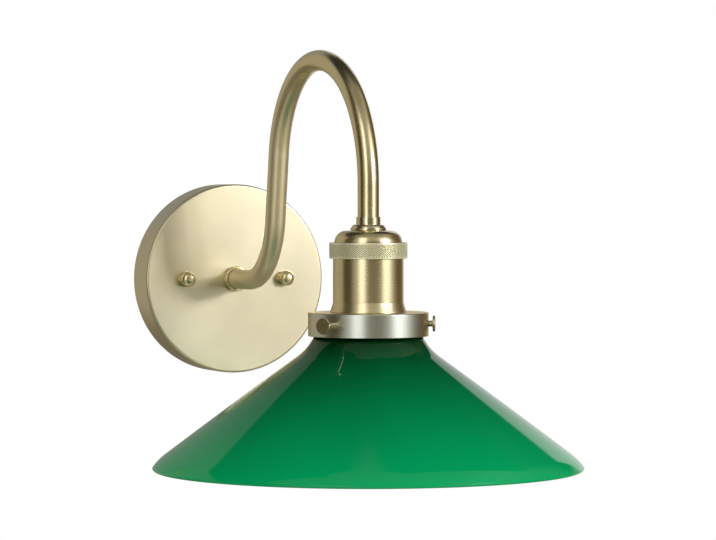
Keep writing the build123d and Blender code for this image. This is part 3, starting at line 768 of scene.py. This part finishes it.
def deliver(piece, body, slot, nodes, *finishes):
    """Gives a piece its finishes and its body, and lets it stand for its nodes. The slot is not
    used.
    """
    piece.data.materials.clear()
    for name in finishes:
        piece.data.materials.append(finish(name))
    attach(piece, body)
    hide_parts(*nodes)


def direction(azimuth, elevation=0):
    """Unit vector towards a place round the light; azimuth 0 is -Y and 90 degrees is +X."""
    flat = math.cos(elevation)
    return Vector((math.sin(azimuth) * flat, -math.cos(azimuth) * flat, math.sin(elevation)))


class CanopyOperator(bpy.types.Operator):
    """Round spun canopy with its stud holes"""
    bl_idname = "wall_light.canopy"
    bl_label = "Canopy"

    def execute(self, context):
        sizes = context.scene.light_canopy
        radius = radius_of("canopy")
        inner = radius - sizes.wall
        under = CANOPY_FRONT - sizes.wall
        outline = rounded([
            (sizes.bore, CANOPY_FRONT),
            (radius, CANOPY_FRONT, sizes.edge),
            (radius, 0, sizes.rim),
            (inner, 0, sizes.rim),
            (inner, under, sizes.rim),
            (sizes.bore, under),
        ])
        piece = turned("canopy_cup", outline, around=256)
        through = 4 * sizes.wall
        for node in ("cap_nut_left", "cap_nut_right"):
            place = (middle_of(node).x, 0, CANOPY_FRONT)
            drill(piece, 48, sizes.stud_hole, through, place)
        smooth(piece)
        seat(piece, rotation=OUTWARD)
        deliver(piece, "fixture", "satin_brass", ["canopy"], "canopy_brass")
        return {"FINISHED"}


class CapNutsOperator(bpy.types.Operator):
    """Two domed nuts on the canopy's face"""
    bl_idname = "wall_light.cap_nuts"
    bl_label = "Cap nuts"

    def execute(self, context):
        sizes = context.scene.light_canopy
        radius = radius_of("cap_nut_left")
        height = depth_of("cap_nut_left")
        foot_edge = 0.1 * MM
        outline = rounded([
            (sizes.nut_bore, sizes.nut_bore_depth),
            (sizes.nut_bore, 0),
            (radius, 0, foot_edge),
            (radius, height, height - sizes.nut_barrel),
            (0, height),
        ], steps=10)
        nut = turned("cap_nut_left_dome", outline, around=64)
        smooth(nut, degrees=50)
        other = copied(nut, "cap_nut_right_dome")
        for piece, node in ((nut, "cap_nut_left"), (other, "cap_nut_right")):
            seat(piece, (middle_of(node).x, -CANOPY_FRONT, 0), OUTWARD)
            deliver(piece, node, "satin_brass", [node], "polished_brass")
        return {"FINISHED"}


class ArmOperator(bpy.types.Operator):
    """Bent tube and the turned collar at its foot"""
    bl_idname = "wall_light.arm"
    bl_label = "Arm"

    def execute(self, context):
        self.make_tube(context.scene.light_arm)
        self.make_collar(context.scene.light_canopy)
        return {"FINISHED"}

    def make_tube(self, sizes):
        start = -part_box("arm_tube")[1].y
        tube = open_ring("gooseneck_tube", 96, sizes.tube, (0, -start, 0), rotation=OUTWARD)
        quarter = math.radians(90)
        end = Vector((-start, 0))
        heading = Vector((-1, 0))
        end = self.run_straight(end, heading, sizes.stub - start)
        end, heading = self.bend(end, heading, sizes.lower_bend, quarter - sizes.lean)
        end = self.run_straight(end, heading, sizes.rear_leg)
        end, heading = self.bend(end, heading, sizes.rear_arch, sizes.lean - quarter)
        end, heading = self.bend(end, heading, sizes.front_arch, -quarter)
        self.run_straight(end, heading, sizes.front_leg)
        merge_doubles()
        close_ends()
        face_outwards()
        smooth(tube)
        deliver(tube, "fixture", "satin_brass", ["arm_tube"], "tube_brass")

    def run_straight(self, end, heading, distance):
        """Extrudes the open end ahead. Points and headings are (y, z)."""
        move = heading * distance
        bpy.ops.mesh.extrude_region()
        bpy.ops.transform.translate(value=(0, move.x, move.y))
        return end + move

    def bend(self, end, heading, radius, turn):
        """Spins the open end about the bend's centre; a positive turn lifts the heading."""
        side = 1 if turn > 0 else -1
        lift = Vector((heading.y, -heading.x)) * side
        centre = end + lift * radius
        fewest_steps = 8
        degrees_a_step = 2
        steps = max(fewest_steps, round(abs(math.degrees(turn)) / degrees_a_step))
        bpy.ops.mesh.spin(
            steps=steps, angle=-turn, center=(0, centre.x, centre.y), axis=(-1, 0, 0),
            use_auto_merge=False)
        swing = Matrix.Rotation(-turn, 2)
        return centre + swing @ (end - centre), swing @ heading

    def make_collar(self, sizes):
        radius = radius_of("arm_collar")
        depth = depth_of("arm_collar")
        pocket = bpy.context.scene.light_arm.tube + sizes.collar_gap
        nearly_round = (radius - pocket) / 2 * 0.98
        outline = rounded([
            (sizes.bore, 0),
            (radius, 0),
            (radius, depth, nearly_round),
            (pocket, depth, nearly_round),
            (pocket, sizes.collar_floor),
            (sizes.bore, sizes.collar_floor),
        ], steps=8)
        collar = turned("collar_ring", outline, around=96)
        smooth(collar)
        seat(collar, (0, -CANOPY_FRONT, 0), OUTWARD)
        deliver(collar, "fixture", "satin_brass", ["arm_collar"], "polished_brass")


class SocketOperator(bpy.types.Operator):
    """Coupling, domed cap and shell of the lamp socket"""
    bl_idname = "wall_light.socket"
    bl_label = "Socket"

    def execute(self, context):
        sizes = context.scene.light_socket
        self.make_coupling(sizes)
        self.make_cap(sizes)
        self.make_shell(sizes)
        return {"FINISHED"}

    def make_coupling(self, sizes):
        top = top_of("socket_coupling")
        bottom = bottom_of("socket_coupling")
        foot = radius_of("socket_coupling")
        pocket = bpy.context.scene.light_arm.tube + CLOSE_PLAY
        neck_end = top - sizes.neck
        flare_end = neck_end - sizes.flare
        flare_in = 0.5 * MM
        flare_swell = 0.7 * MM
        mouth_edge = 0.25 * MM
        flare_edge = 0.3 * MM
        foot_edge = 0.6 * MM
        outline = rounded([
            (pocket, top),
            (sizes.neck_radius, top, mouth_edge),
            (sizes.neck_radius, neck_end),
            *bowed((sizes.neck_radius, neck_end), (foot - flare_in, flare_end), flare_swell, 8),
            (foot, flare_end, flare_edge),
            (foot, bottom, foot_edge),
            (sizes.pipe_bore, bottom),
            (sizes.pipe_bore, top - sizes.grip),
            (pocket, top - sizes.grip),
        ])
        piece = turned("coupling_sleeve", outline, around=96)
        smooth(piece)
        seat(piece, SOCKET_AXIS)
        deliver(piece, "fixture", "satin_brass", ["socket_coupling"], "coupling_brass")

    def make_cap(self, sizes):
        top = top_of("socket_cap")
        bottom = bottom_of("socket_cap")
        radius = radius_of("socket_cap")
        inner = radius - sizes.cap_wall
        under = top - sizes.cap_wall
        outline = rounded([
            (sizes.pipe_bore, top),
            (radius, top, sizes.dome_radius),
            (radius, bottom),
            (inner, bottom),
            (inner, under, sizes.dome_radius - sizes.cap_wall),
            (sizes.pipe_bore, under),
        ], steps=14)
        piece = turned("socket_dome", outline, around=128)
        smooth(piece)
        seat(piece, SOCKET_AXIS)
        deliver(piece, "fixture", "satin_brass", ["socket_cap"], "socket_brass")

    def make_shell(self, sizes):
        top = top_of("socket_shell")
        bottom = bottom_of("socket_shell")
        foot_height = top_of("shade_holder")
        foot = radius_of("socket_shell")
        radius = sizes.shell_radius
        inner = radius - sizes.shell_wall
        tail_inner = sizes.tail_radius - sizes.tail_wall
        flare_top = foot_height + sizes.foot_flare
        bead = 0.12 * MM
        bead_end = flare_top - 2 * bead
        foot_side = 0.5 * MM
        foot_edge = 0.2 * MM
        flare_swell = -0.1 * MM
        outline = rounded([
            (inner, top),
            (radius, top),
            (radius, flare_top),
            (radius + bead, flare_top, bead),
            (radius + bead, bead_end, bead),
            (radius, bead_end),
            *bowed((radius, bead_end), (foot, foot_height + foot_side), flare_swell, 8),
            (foot, foot_height, foot_edge),
            (sizes.tail_radius, foot_height),
            (sizes.tail_radius, bottom),
            (tail_inner, bottom),
            (tail_inner, flare_top),
            (inner, flare_top + sizes.shell_wall),
        ])
        piece = turned("socket_body", outline, around=128)
        smooth(piece)
        seat(piece, SOCKET_AXIS)
        deliver(piece, "fixture", "satin_brass", ["socket_shell"], "socket_brass")


LINES_A_DIAMOND = 4  # lines of points across one diamond of the knurl, either way


class KnurledRingOperator(bpy.types.Operator):
    """Ring with a real diamond knurl"""
    bl_idname = "wall_light.knurled_ring"
    bl_label = "Knurled ring"

    def execute(self, context):
        sizes = context.scene.light_socket
        radius = radius_of("knurled_ring")
        top = top_of("knurled_ring")
        bottom = bottom_of("knurled_ring")
        band_top = top - sizes.ring_border
        band_bottom = bottom + sizes.ring_border
        columns = LINES_A_DIAMOND * round(math.tau * radius / sizes.knurl_width)
        rows = LINES_A_DIAMOND * round((band_top - band_bottom) / sizes.knurl_height)
        band = [
            (radius, band_top + (band_bottom - band_top) * row / rows)
            for row in range(rows + 1)
        ]
        lip_bore = radius_of("socket_cap") + PLAY
        bore = sizes.shell_radius + PLAY
        lip_under = top_of("socket_shell") + PLAY
        step_in = 0.05 * MM
        border = radius - step_in
        slope = 0.1 * MM
        edge = 0.3 * MM
        outline = rounded([
            (lip_bore, top),
            (border, top, edge),
            (border, band_top + slope),
            *band,
            (border, band_bottom - slope),
            (border, bottom, edge),
            (bore, bottom),
            (bore, lip_under),
            (lip_bore, lip_under),
        ], steps=4)
        piece = turned("knurled_band", outline, around=columns)
        self.press_grooves(piece, band, radius, sizes.knurl_depth, columns)
        smooth(piece, degrees=24)
        seat(piece, SOCKET_AXIS)
        deliver(piece, "knurled_ring", "pale_brass", ["knurled_ring"], "knurled_brass")
        return {"FINISHED"}

    def press_grooves(self, piece, band, radius, depth, columns):
        """Presses crossing grooves into the band, where lines of points along both slants fall
        between the diamonds, and splits the band's faces along them."""
        top = band[0][1]
        last = len(band) - 1
        step = (top - band[-1][1]) / last
        outermost = radius - 0.01 * MM
        edit(piece)
        bpy.ops.mesh.select_all(action="DESELECT")
        bpy.ops.object.mode_set(mode="OBJECT")
        for vertex in piece.data.vertices:
            row = round((top - vertex.co.z) / step)
            column = round(math.atan2(vertex.co.y, vertex.co.x) / math.tau * columns)
            on_band = vertex.co.xy.length > outermost and 0 < row < last
            falling = (row + column) % LINES_A_DIAMOND == 0
            rising = (row - column) % LINES_A_DIAMOND == 0
            vertex.select = on_band and (falling or rising)
        bpy.ops.object.mode_set(mode="EDIT")
        scale = 1 - depth / radius
        bpy.ops.transform.resize(value=(scale, scale, 1), center_override=(0, 0, 0))
        bpy.ops.mesh.select_all(action="DESELECT")
        bpy.ops.object.mode_set(mode="OBJECT")
        just_under_grooves = radius - 1.1 * depth
        for face in piece.data.polygons:
            row = (top - face.center.z) / step
            face.select = face.center.xy.length > just_under_grooves and 0 < row < last
        bpy.ops.object.mode_set(mode="EDIT")
        bpy.ops.mesh.select_mode(type="FACE")
        bpy.ops.mesh.quads_convert_to_tris(quad_method="SHORTEST_DIAGONAL")
        face_outwards()


class LampSeatOperator(bpy.types.Operator):
    """Rolled brass thread that takes the lamp"""
    bl_idname = "wall_light.lamp_seat"
    bl_label = "Lamp seat"

    def execute(self, context):
        sizes = context.scene.light_socket
        top = top_of("screw_shell")
        bottom = bottom_of("screw_shell")
        radius = radius_of("screw_shell")
        neck = radius - sizes.thread_depth
        wall = 0.5 * MM
        ledge = 6.0 * MM
        waves = round((top - bottom - 2 * wall) / sizes.thread_pitch)
        steps = 10 * waves
        wave_top = top - 1.5 * wall
        outer = []
        for step in range(steps + 1):
            height = wave_top + (bottom - wave_top) * step / steps
            swell = (1 - math.cos(math.tau * waves * step / steps)) / 2
            outer.append((radius - sizes.thread_depth * (1 - swell), height))
        inner = [(out - wall, height) for out, height in reversed(outer)]
        outline = [
            (ledge, top),
            (neck, top),
            *outer,
            *inner,
            (neck - wall, top - wall),
            (ledge, top - wall),
        ]
        piece = turned("lamp_thread", outline, around=96)
        smooth(piece, degrees=60)
        seat(piece, SOCKET_AXIS)
        deliver(piece, "fixture", "contact_brass", ["screw_shell"], "pressed_brass")
        return {"FINISHED"}


# thumb screw's node, and the degrees that its slot is turned about its own axis
SCREWS = (("thumb_screw_left", 22), ("thumb_screw_right", 65), ("thumb_screw_rear", 10))


def screw_turns():
    """Turn of each thumb screw about the socket's axis, from -Y towards +X."""
    first = bpy.context.scene.light_holder.first_screw
    apart = math.radians(360 / len(SCREWS))
    return [first + apart * step for step in range(len(SCREWS))]


class HolderOperator(bpy.types.Operator):
    """Shade holder with its three tapped holes"""
    bl_idname = "wall_light.holder"
    bl_label = "Shade holder"

    def execute(self, context):
        sizes = context.scene.light_holder
        top = top_of("shade_holder")
        bottom = bottom_of("shade_holder")
        radius = radius_of("shade_holder")
        inner = radius - sizes.wall
        under = top - sizes.wall
        rim = 0.35 * MM
        inner_bend = 0.6 * MM
        outline = rounded([
            (sizes.bore, top),
            (radius, top, sizes.edge),
            (radius, bottom, rim),
            (inner, bottom, rim),
            (inner, under, inner_bend),
            (sizes.bore, under),
        ])
        piece = turned("holder_cup", outline, around=192)
        screw_height = Vector((0, 0, top - sizes.screw_drop))
        hole = sizes.screw_radius + CLOSE_PLAY
        through = 6 * sizes.wall
        for turn in screw_turns():
            place = direction(turn) * radius + screw_height
            drill(piece, 32, hole, through, place, (math.radians(90), 0, turn))
        smooth(piece)
        seat(piece, SOCKET_AXIS)
        deliver(piece, "fixture", "holder_brass", ["shade_holder"], "spun_holder")
        return {"FINISHED"}


class ThumbScrewsOperator(bpy.types.Operator):
    """Three slotted thumb screws"""
    bl_idname = "wall_light.thumb_screws"
    bl_label = "Thumb screws"

    def execute(self, context):
        sizes = context.scene.light_holder
        face = sizes.screw_length + sizes.head
        master = self.make_master(sizes, face)
        for (node, slot_turn), turn in zip(SCREWS, screw_turns()):
            screw = copied(master, node + "_turned")
            smooth(screw)
            seat(screw, rotation=(0, 0, math.radians(slot_turn)))
            seat(screw, rotation=OUTWARD)
            seat(screw, rotation=(0, 0, turn))
            place = SOCKET_AXIS + direction(turn) * self.tip_reach(node, turn, face, sizes)
            seat(screw, (place.x, place.y, middle_of(node).z))
            deliver(screw, node, "satin_brass", [node], "dark_brass", "worn_and_lit_slot_brass")
        bpy.data.objects.remove(master)
        return {"FINISHED"}

    def make_master(self, sizes, face):
        """One screw standing on its tip, its slot's faces given the second finish."""
        shank = sizes.screw_radius
        chamfer = 0.4 * MM
        root = 0.7 * MM
        head_under_edge = 0.2 * MM
        head_edge = 0.3 * MM
        outline = rounded([
            (shank - chamfer, 0),
            (shank, chamfer),
            (shank, sizes.screw_length - root),
            (shank + root, sizes.screw_length),
            (sizes.head_radius, sizes.screw_length, head_under_edge),
            (sizes.head_radius, face, head_edge),
            (0, face),
        ])
        master = turned("thumb_screw_master", outline, around=64)
        bpy.ops.mesh.primitive_cube_add(size=1, location=(0, 0, face))
        cutter = bpy.context.active_object
        cutter.scale = (3 * sizes.head_radius, sizes.slot_width, 2 * sizes.slot_depth)
        bpy.ops.object.transform_apply(location=True, rotation=True, scale=True)
        cut(master, cutter)
        slot_side = 0.51 * sizes.slot_width
        highest = face - 0.1 * MM
        lowest = sizes.screw_length + 0.1 * MM
        reach = 0.95 * sizes.head_radius
        for polygon in master.data.polygons:
            middle = polygon.center
            in_slot = abs(middle.y) < slot_side and lowest < middle.z < highest
            # The slot's floor takes the lighter brass: wear and a painted highlight.
            polygon.material_index = 1 if in_slot and middle.xy.length < reach else 0
        return master

    def tip_reach(self, node, turn, face, sizes):
        """Distance from the socket's axis to the screw's tip, worked out from how far the head's
        disc reaches in the node's box."""
        low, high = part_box(node)
        low = low - SOCKET_AXIS
        high = high - SOCKET_AXIS
        out = direction(turn)
        along = max(abs(out.x), abs(out.y))
        across = min(abs(out.x), abs(out.y))
        if abs(out.x) > abs(out.y):
            head_reach = max(abs(low.x), abs(high.x))
        else:
            head_reach = max(abs(low.y), abs(high.y))
        return (head_reach - sizes.head_radius * across) / along - face


class ShadeOperator(bpy.types.Operator):
    """Blown glass cone, green outside and opal inside"""
    bl_idname = "wall_light.shade"
    bl_label = "Glass shade"

    def execute(self, context):
        sizes = context.scene.light_shade
        widest = top_of("shade_holder") - sizes.rim_drop
        outline = rounded(self.outline(sizes, widest), steps=5)
        piece = turned("glass_cone", outline, around=256)
        smooth(piece, degrees=40)
        self.case_inside(piece, widest - sizes.wall * 0.3)
        seat(piece, SOCKET_AXIS)
        deliver(piece, "fixture", "green_glass", ["glass_shade"], "cased_green", "opal_glass")
        return {"FINISHED"}

    def outline(self, sizes, widest):
        """Down the outside from the lip to the rim, and back up the inside."""
        base = top_of("shade_holder")
        top = top_of("glass_shade")
        rim = radius_of("glass_shade")
        bottom = bottom_of("glass_shade")
        wall = sizes.wall
        neck = sizes.neck_radius
        neck_end = top - sizes.neck
        lip = sizes.lip_radius
        lip_end = top - sizes.lip
        collar = (sizes.collar_radius, base - sizes.collar_drop)
        cone_top = (sizes.cone_radius, base - sizes.cone_drop)
        cone_end = (rim - sizes.edge_width, widest + sizes.edge_drop)
        slope = math.atan2(cone_end[0] - cone_top[0], cone_top[1] - cone_end[1])
        inward = Vector((-math.cos(slope), -math.sin(slope))) * wall
        inner_end = tuple(Vector(cone_end) + inward)
        inner_top = tuple(Vector(cone_top) + inward)
        inner_collar = (collar[0] - wall, collar[1] - wall / 2)
        shoulder_swell = 0.9 * MM
        lip_edge = 0.5 * MM
        lip_under_edge = 0.8 * MM
        neck_bend = 1.5 * MM
        inner_lip_bend = 1.0 * MM
        rim_edge = 0.3 * MM
        rim_round = wall * 0.47
        outside = [
            (lip - wall, top, lip_edge),
            (lip, top, lip_edge),
            (lip, lip_end, lip_under_edge),
            (neck, lip_end - wall / 4, lip_under_edge),
            (neck, neck_end, neck_bend),
            collar,
            *bowed(collar, cone_top, -shoulder_swell, 8),
            *bowed(cone_top, cone_end, sizes.bulge, 12),
            *bowed(cone_end, (rim, widest), sizes.edge_swell, 8)[:-1],
            (rim, widest, rim_edge),
            (rim, bottom, rim_round),
            (rim - wall, bottom, rim_round),
        ]
        inside = [
            (rim - wall, widest, rim_edge),
            inner_end,
            *bowed(inner_end, inner_top, -sizes.bulge, 12),
            *bowed(inner_top, inner_collar, shoulder_swell, 8),
            (neck - wall, neck_end - wall / 4, neck_bend),
            (neck - wall, lip_end - wall / 2, inner_lip_bend),
            (lip - wall, lip_end + wall / 4),
        ]
        return outside + inside

    def case_inside(self, piece, rim_height):
        """Gives the second finish to the faces inside and under the rim."""
        steepest = -0.2
        for face in piece.data.polygons:
            out = face.center.xy.normalized()
            leans_in = face.normal.xy.dot(out) < 0 or face.normal.z < steepest
            face.material_index = 1 if leans_in or face.center.z < rim_height else 0


# material slots whose nodes keep the frame's shape, and the finish of each
KEPT_SHAPES = {
    "plated_steel": "zinc_plate",
    "contact_brass": "pressed_brass",
    "porcelain": "glazed_porcelain",
    "green_paint": "green_cover",
    "black_insulation": "black_cover",
    "white_insulation": "white_cover",
    "green_insulation": "green_cover",
}


class HiddenPartsOperator(bpy.types.Operator):
    """Finishes of the pieces that keep the frame's shape"""
    bl_idname = "wall_light.hidden_parts"
    bl_label = "Hidden parts"

    def execute(self, context):
        for part in frame["record"]["subparts"]:
            name = KEPT_SHAPES.get(part["material_slot"])
            if name is None:
                continue
            for place in frame["nodes"][part["node"]].material_slots:
                place.link = "OBJECT"
                place.material = finish(name)
        return {"FINISHED"}


# ---- studio ----
WHITE = (1, 1, 1)
STUDIO_CENTRE = Vector((0, -0.2, 0))
BOX_DISTANCE = 2.3  # metres from the studio's centre
LEVEL_POWER = 4  # watts that a square metre of box needs for a level of 1
FLOOR_RADIUS = 1.6
FLOOR_CENTRE_Y = -0.15
FLOOR_FADE = (0.2, 0.6)  # metres from the origin where the floor starts to turn white, and is white
CLIP_START, CLIP_END = 0.05, 30

# name, azimuth and elevation in degrees, width and height in metres, level
SOFT_BOXES = (
    ("left_strip", -43.5, 20, 0.86, 2.6, 1.1),
    ("right_strip", 39.5, 20, 1.40, 2.14, 0.55),
    ("key_box", 37, 15, 0.44, 0.44, 24.0),
)
# Parts of the room that shiny surfaces show, each laid over the ones before it:
# azimuth, elevation, half width, half height and soft edge in degrees, colour
WALLS = (
    (-150, 0, 35, 28, 4, (0.40, 0.36, 0.27)),
    (180, -60, 110, 42, 8, (0.15, 0.13, 0.09)),
    (-20, -60, 90, 35, 8, (0.50, 0.46, 0.36)),
    (0, 90, 180, 30, 6, (0.25, 0.235, 0.18)),
    (136, 45, 24, 30, 4, (0.015, 0.014, 0.012)),
    (180, 59.5, 74, 19, 1.5, (0.015, 0.014, 0.012)),
    (175, 18, 19, 22.5, 1.5, (0.29, 0.29, 0.27)),
    (146, 4, 13.5, 28, 1.5, (0.8, 0.8, 0.8)),
    (-95, 0, 19, 55, 5, (0.06, 0.045, 0.016)),
    (-5, -12, 25, 28, 5, (0.16, 0.135, 0.085)),
    (95, 0, 24, 40, 12, (0.11, 0.075, 0.03)),
)


class StageOperator(bpy.types.Operator):
    """Pale floor, soft boxes, room light and the camera"""
    bl_idname = "wall_light.stage"
    bl_label = "Stage"

    def execute(self, context):
        studio = context.scene.light_studio
        self.make_room(context.scene, studio)
        self.make_floor(studio)
        for box in SOFT_BOXES:
            self.make_box(*box)
        self.make_camera(context.scene, studio)
        return {"FINISHED"}

    def make_room(self, scene, studio):
        """White backdrop for the camera, panels in shiny surfaces and an even fill for the rest."""
        world = bpy.data.worlds.new("room")
        scene.world = world
        sheet = Sheet(world)
        glossy = sheet.add("ShaderNodeLightPath", output="Is Glossy Ray")
        white = sheet.glow("ShaderNodeBackground", WHITE)
        walls = sheet.glow("ShaderNodeBackground", self.wall_tones(sheet, studio))
        fill = sheet.glow("ShaderNodeBackground", WHITE, studio.fill)
        unseen = sheet.mix_shaders(glossy, fill, walls)
        room = sheet.mix_shaders(self.seen_directly(sheet), unseen, white)
        sheet.add("ShaderNodeOutputWorld", sockets={"Surface": room})
        scene.view_settings.view_transform = "Standard"

    def wall_tones(self, sheet, studio):
        """Soft-edged panels of the room's walls, each laid over the ones before it."""
        way = sheet.add("ShaderNodeTexCoord", output="Generated")
        height = sheet.add("ShaderNodeSeparateXYZ", sockets={0: way}, output="Z")
        elevation = height.math("ARCSINE", height)
        tones = opaque(studio.walls)
        for azimuth, middle, half_width, half_height, soft, tone in WALLS:
            turn = math.radians(azimuth)
            ahead = sheet.dot(way, (math.sin(turn), -math.cos(turn), 0))
            aside = sheet.dot(way, (math.cos(turn), math.sin(turn), 0))
            sideways = aside.math("ABSOLUTE", aside.math("ARCTAN2", aside, ahead))
            upwards = height.math("ABSOLUTE", elevation - math.radians(middle))
            across = self.faded(sideways, half_width, soft)
            tones = sheet.mix(across * self.faded(upwards, half_height, soft), tones, tone)
        return tones

    def faded(self, away, half, soft):
        """1 within the half width in degrees, falling to 0 over the soft edge."""
        return ((math.radians(half) - away) / math.radians(soft) + 0.5).clamped()

    def seen_directly(self, sheet):
        """1 for camera and transmission rays."""
        camera = sheet.add("ShaderNodeLightPath", output="Is Camera Ray")
        through = sheet.add("ShaderNodeLightPath", output="Is Transmission Ray")
        return (camera + through).clamped()

    def make_floor(self, studio):
        """Round pale floor that keeps the shadow and fades into the white room."""
        bpy.ops.object.select_all(action="DESELECT")
        bpy.ops.mesh.primitive_circle_add(
            vertices=128, radius=FLOOR_RADIUS, fill_type="NGON",
            location=(0, FLOOR_CENTRE_Y, studio.floor_height))
        floor = bpy.context.active_object
        floor.name = "floor"
        material = bpy.data.materials.new("pale_floor")
        sheet = Sheet(material)
        x, y, _ = sheet.place()
        far = sheet.spread((x * x + y * y) ** 0.5, 0.0, 1.0, *FLOOR_FADE)
        matt = sheet.add("ShaderNodeBsdfDiffuse", sockets={"Color": opaque(studio.floor)})
        white = sheet.glow("ShaderNodeEmission", WHITE)
        shader = sheet.mix_shaders(far * self.seen_directly(sheet), matt, white)
        sheet.add("ShaderNodeOutputMaterial", sockets={"Surface": shader})
        floor.data.materials.append(material)
        floor.visible_glossy = False

    def make_box(self, name, azimuth, elevation, width, height, strength):
        """Soft box facing the studio's centre, which the camera doesn't see."""
        back = direction(math.radians(azimuth), math.radians(elevation))
        bpy.ops.object.light_add(
            type="AREA", location=STUDIO_CENTRE + back * BOX_DISTANCE,
            rotation=back.to_track_quat("Z", "Y").to_euler())
        box = bpy.context.active_object
        box.name = name
        box.data.shape = "RECTANGLE"
        box.data.size = width
        box.data.size_y = height
        box.data.energy = LEVEL_POWER * strength * width * height
        box.visible_camera = False

    def make_camera(self, scene, studio):
        back = direction(studio.azimuth, studio.elevation)
        bpy.ops.object.camera_add(
            location=Vector(studio.aim) + back * studio.distance,
            rotation=back.to_track_quat("Z", "Y").to_euler())
        camera = bpy.context.active_object
        camera.name = "photo_camera"
        camera.data.lens = studio.lens
        camera.data.clip_start = CLIP_START
        camera.data.clip_end = CLIP_END
        scene.camera = camera


STEPS = (
    CanopyOperator,
    CapNutsOperator,
    ArmOperator,
    SocketOperator,
    KnurledRingOperator,
    LampSeatOperator,
    HolderOperator,
    ThumbScrewsOperator,
    ShadeOperator,
    HiddenPartsOperator,
    StageOperator,
)
GROUPS = {
    "light_canopy": CanopySizes,
    "light_arm": ArmSizes,
    "light_socket": SocketSizes,
    "light_holder": HolderSizes,
    "light_shade": ShadeSizes,
    "light_finishes": Finishes,
    "light_studio": Studio,
}


class WallLightPanel(bpy.types.Panel):
    """Lists the steps that dress the wall light, and its sizes"""
    bl_idname = "VIEW3D_PT_wall_light"
    bl_label = "Wall light"
    bl_space_type = "VIEW_3D"
    bl_region_type = "UI"
    bl_category = "Wall light"

    def draw(self, context):
        for step in STEPS:
            self.layout.operator(step.bl_idname)
        for name in GROUPS:
            box = self.layout.box()
            group = getattr(context.scene, name)
            for key in group.__annotations__:
                box.prop(group, key)


def register():
    for group in GROUPS.values():
        bpy.utils.register_class(group)
    for name, group in GROUPS.items():
        setattr(bpy.types.Scene, name, bpy.props.PointerProperty(type=group))
    for step in STEPS:
        bpy.utils.register_class(step)
    bpy.utils.register_class(WallLightPanel)


def unregister():
    bpy.utils.unregister_class(WallLightPanel)
    for step in reversed(STEPS):
        bpy.utils.unregister_class(step)
    for name, group in GROUPS.items():
        delattr(bpy.types.Scene, name)
        bpy.utils.unregister_class(group)


def main():
    register()
    for step in STEPS:
        family, action = step.bl_idname.split(".")
        getattr(getattr(bpy.ops, family), action)()


if __name__ == "__main__":
    main()
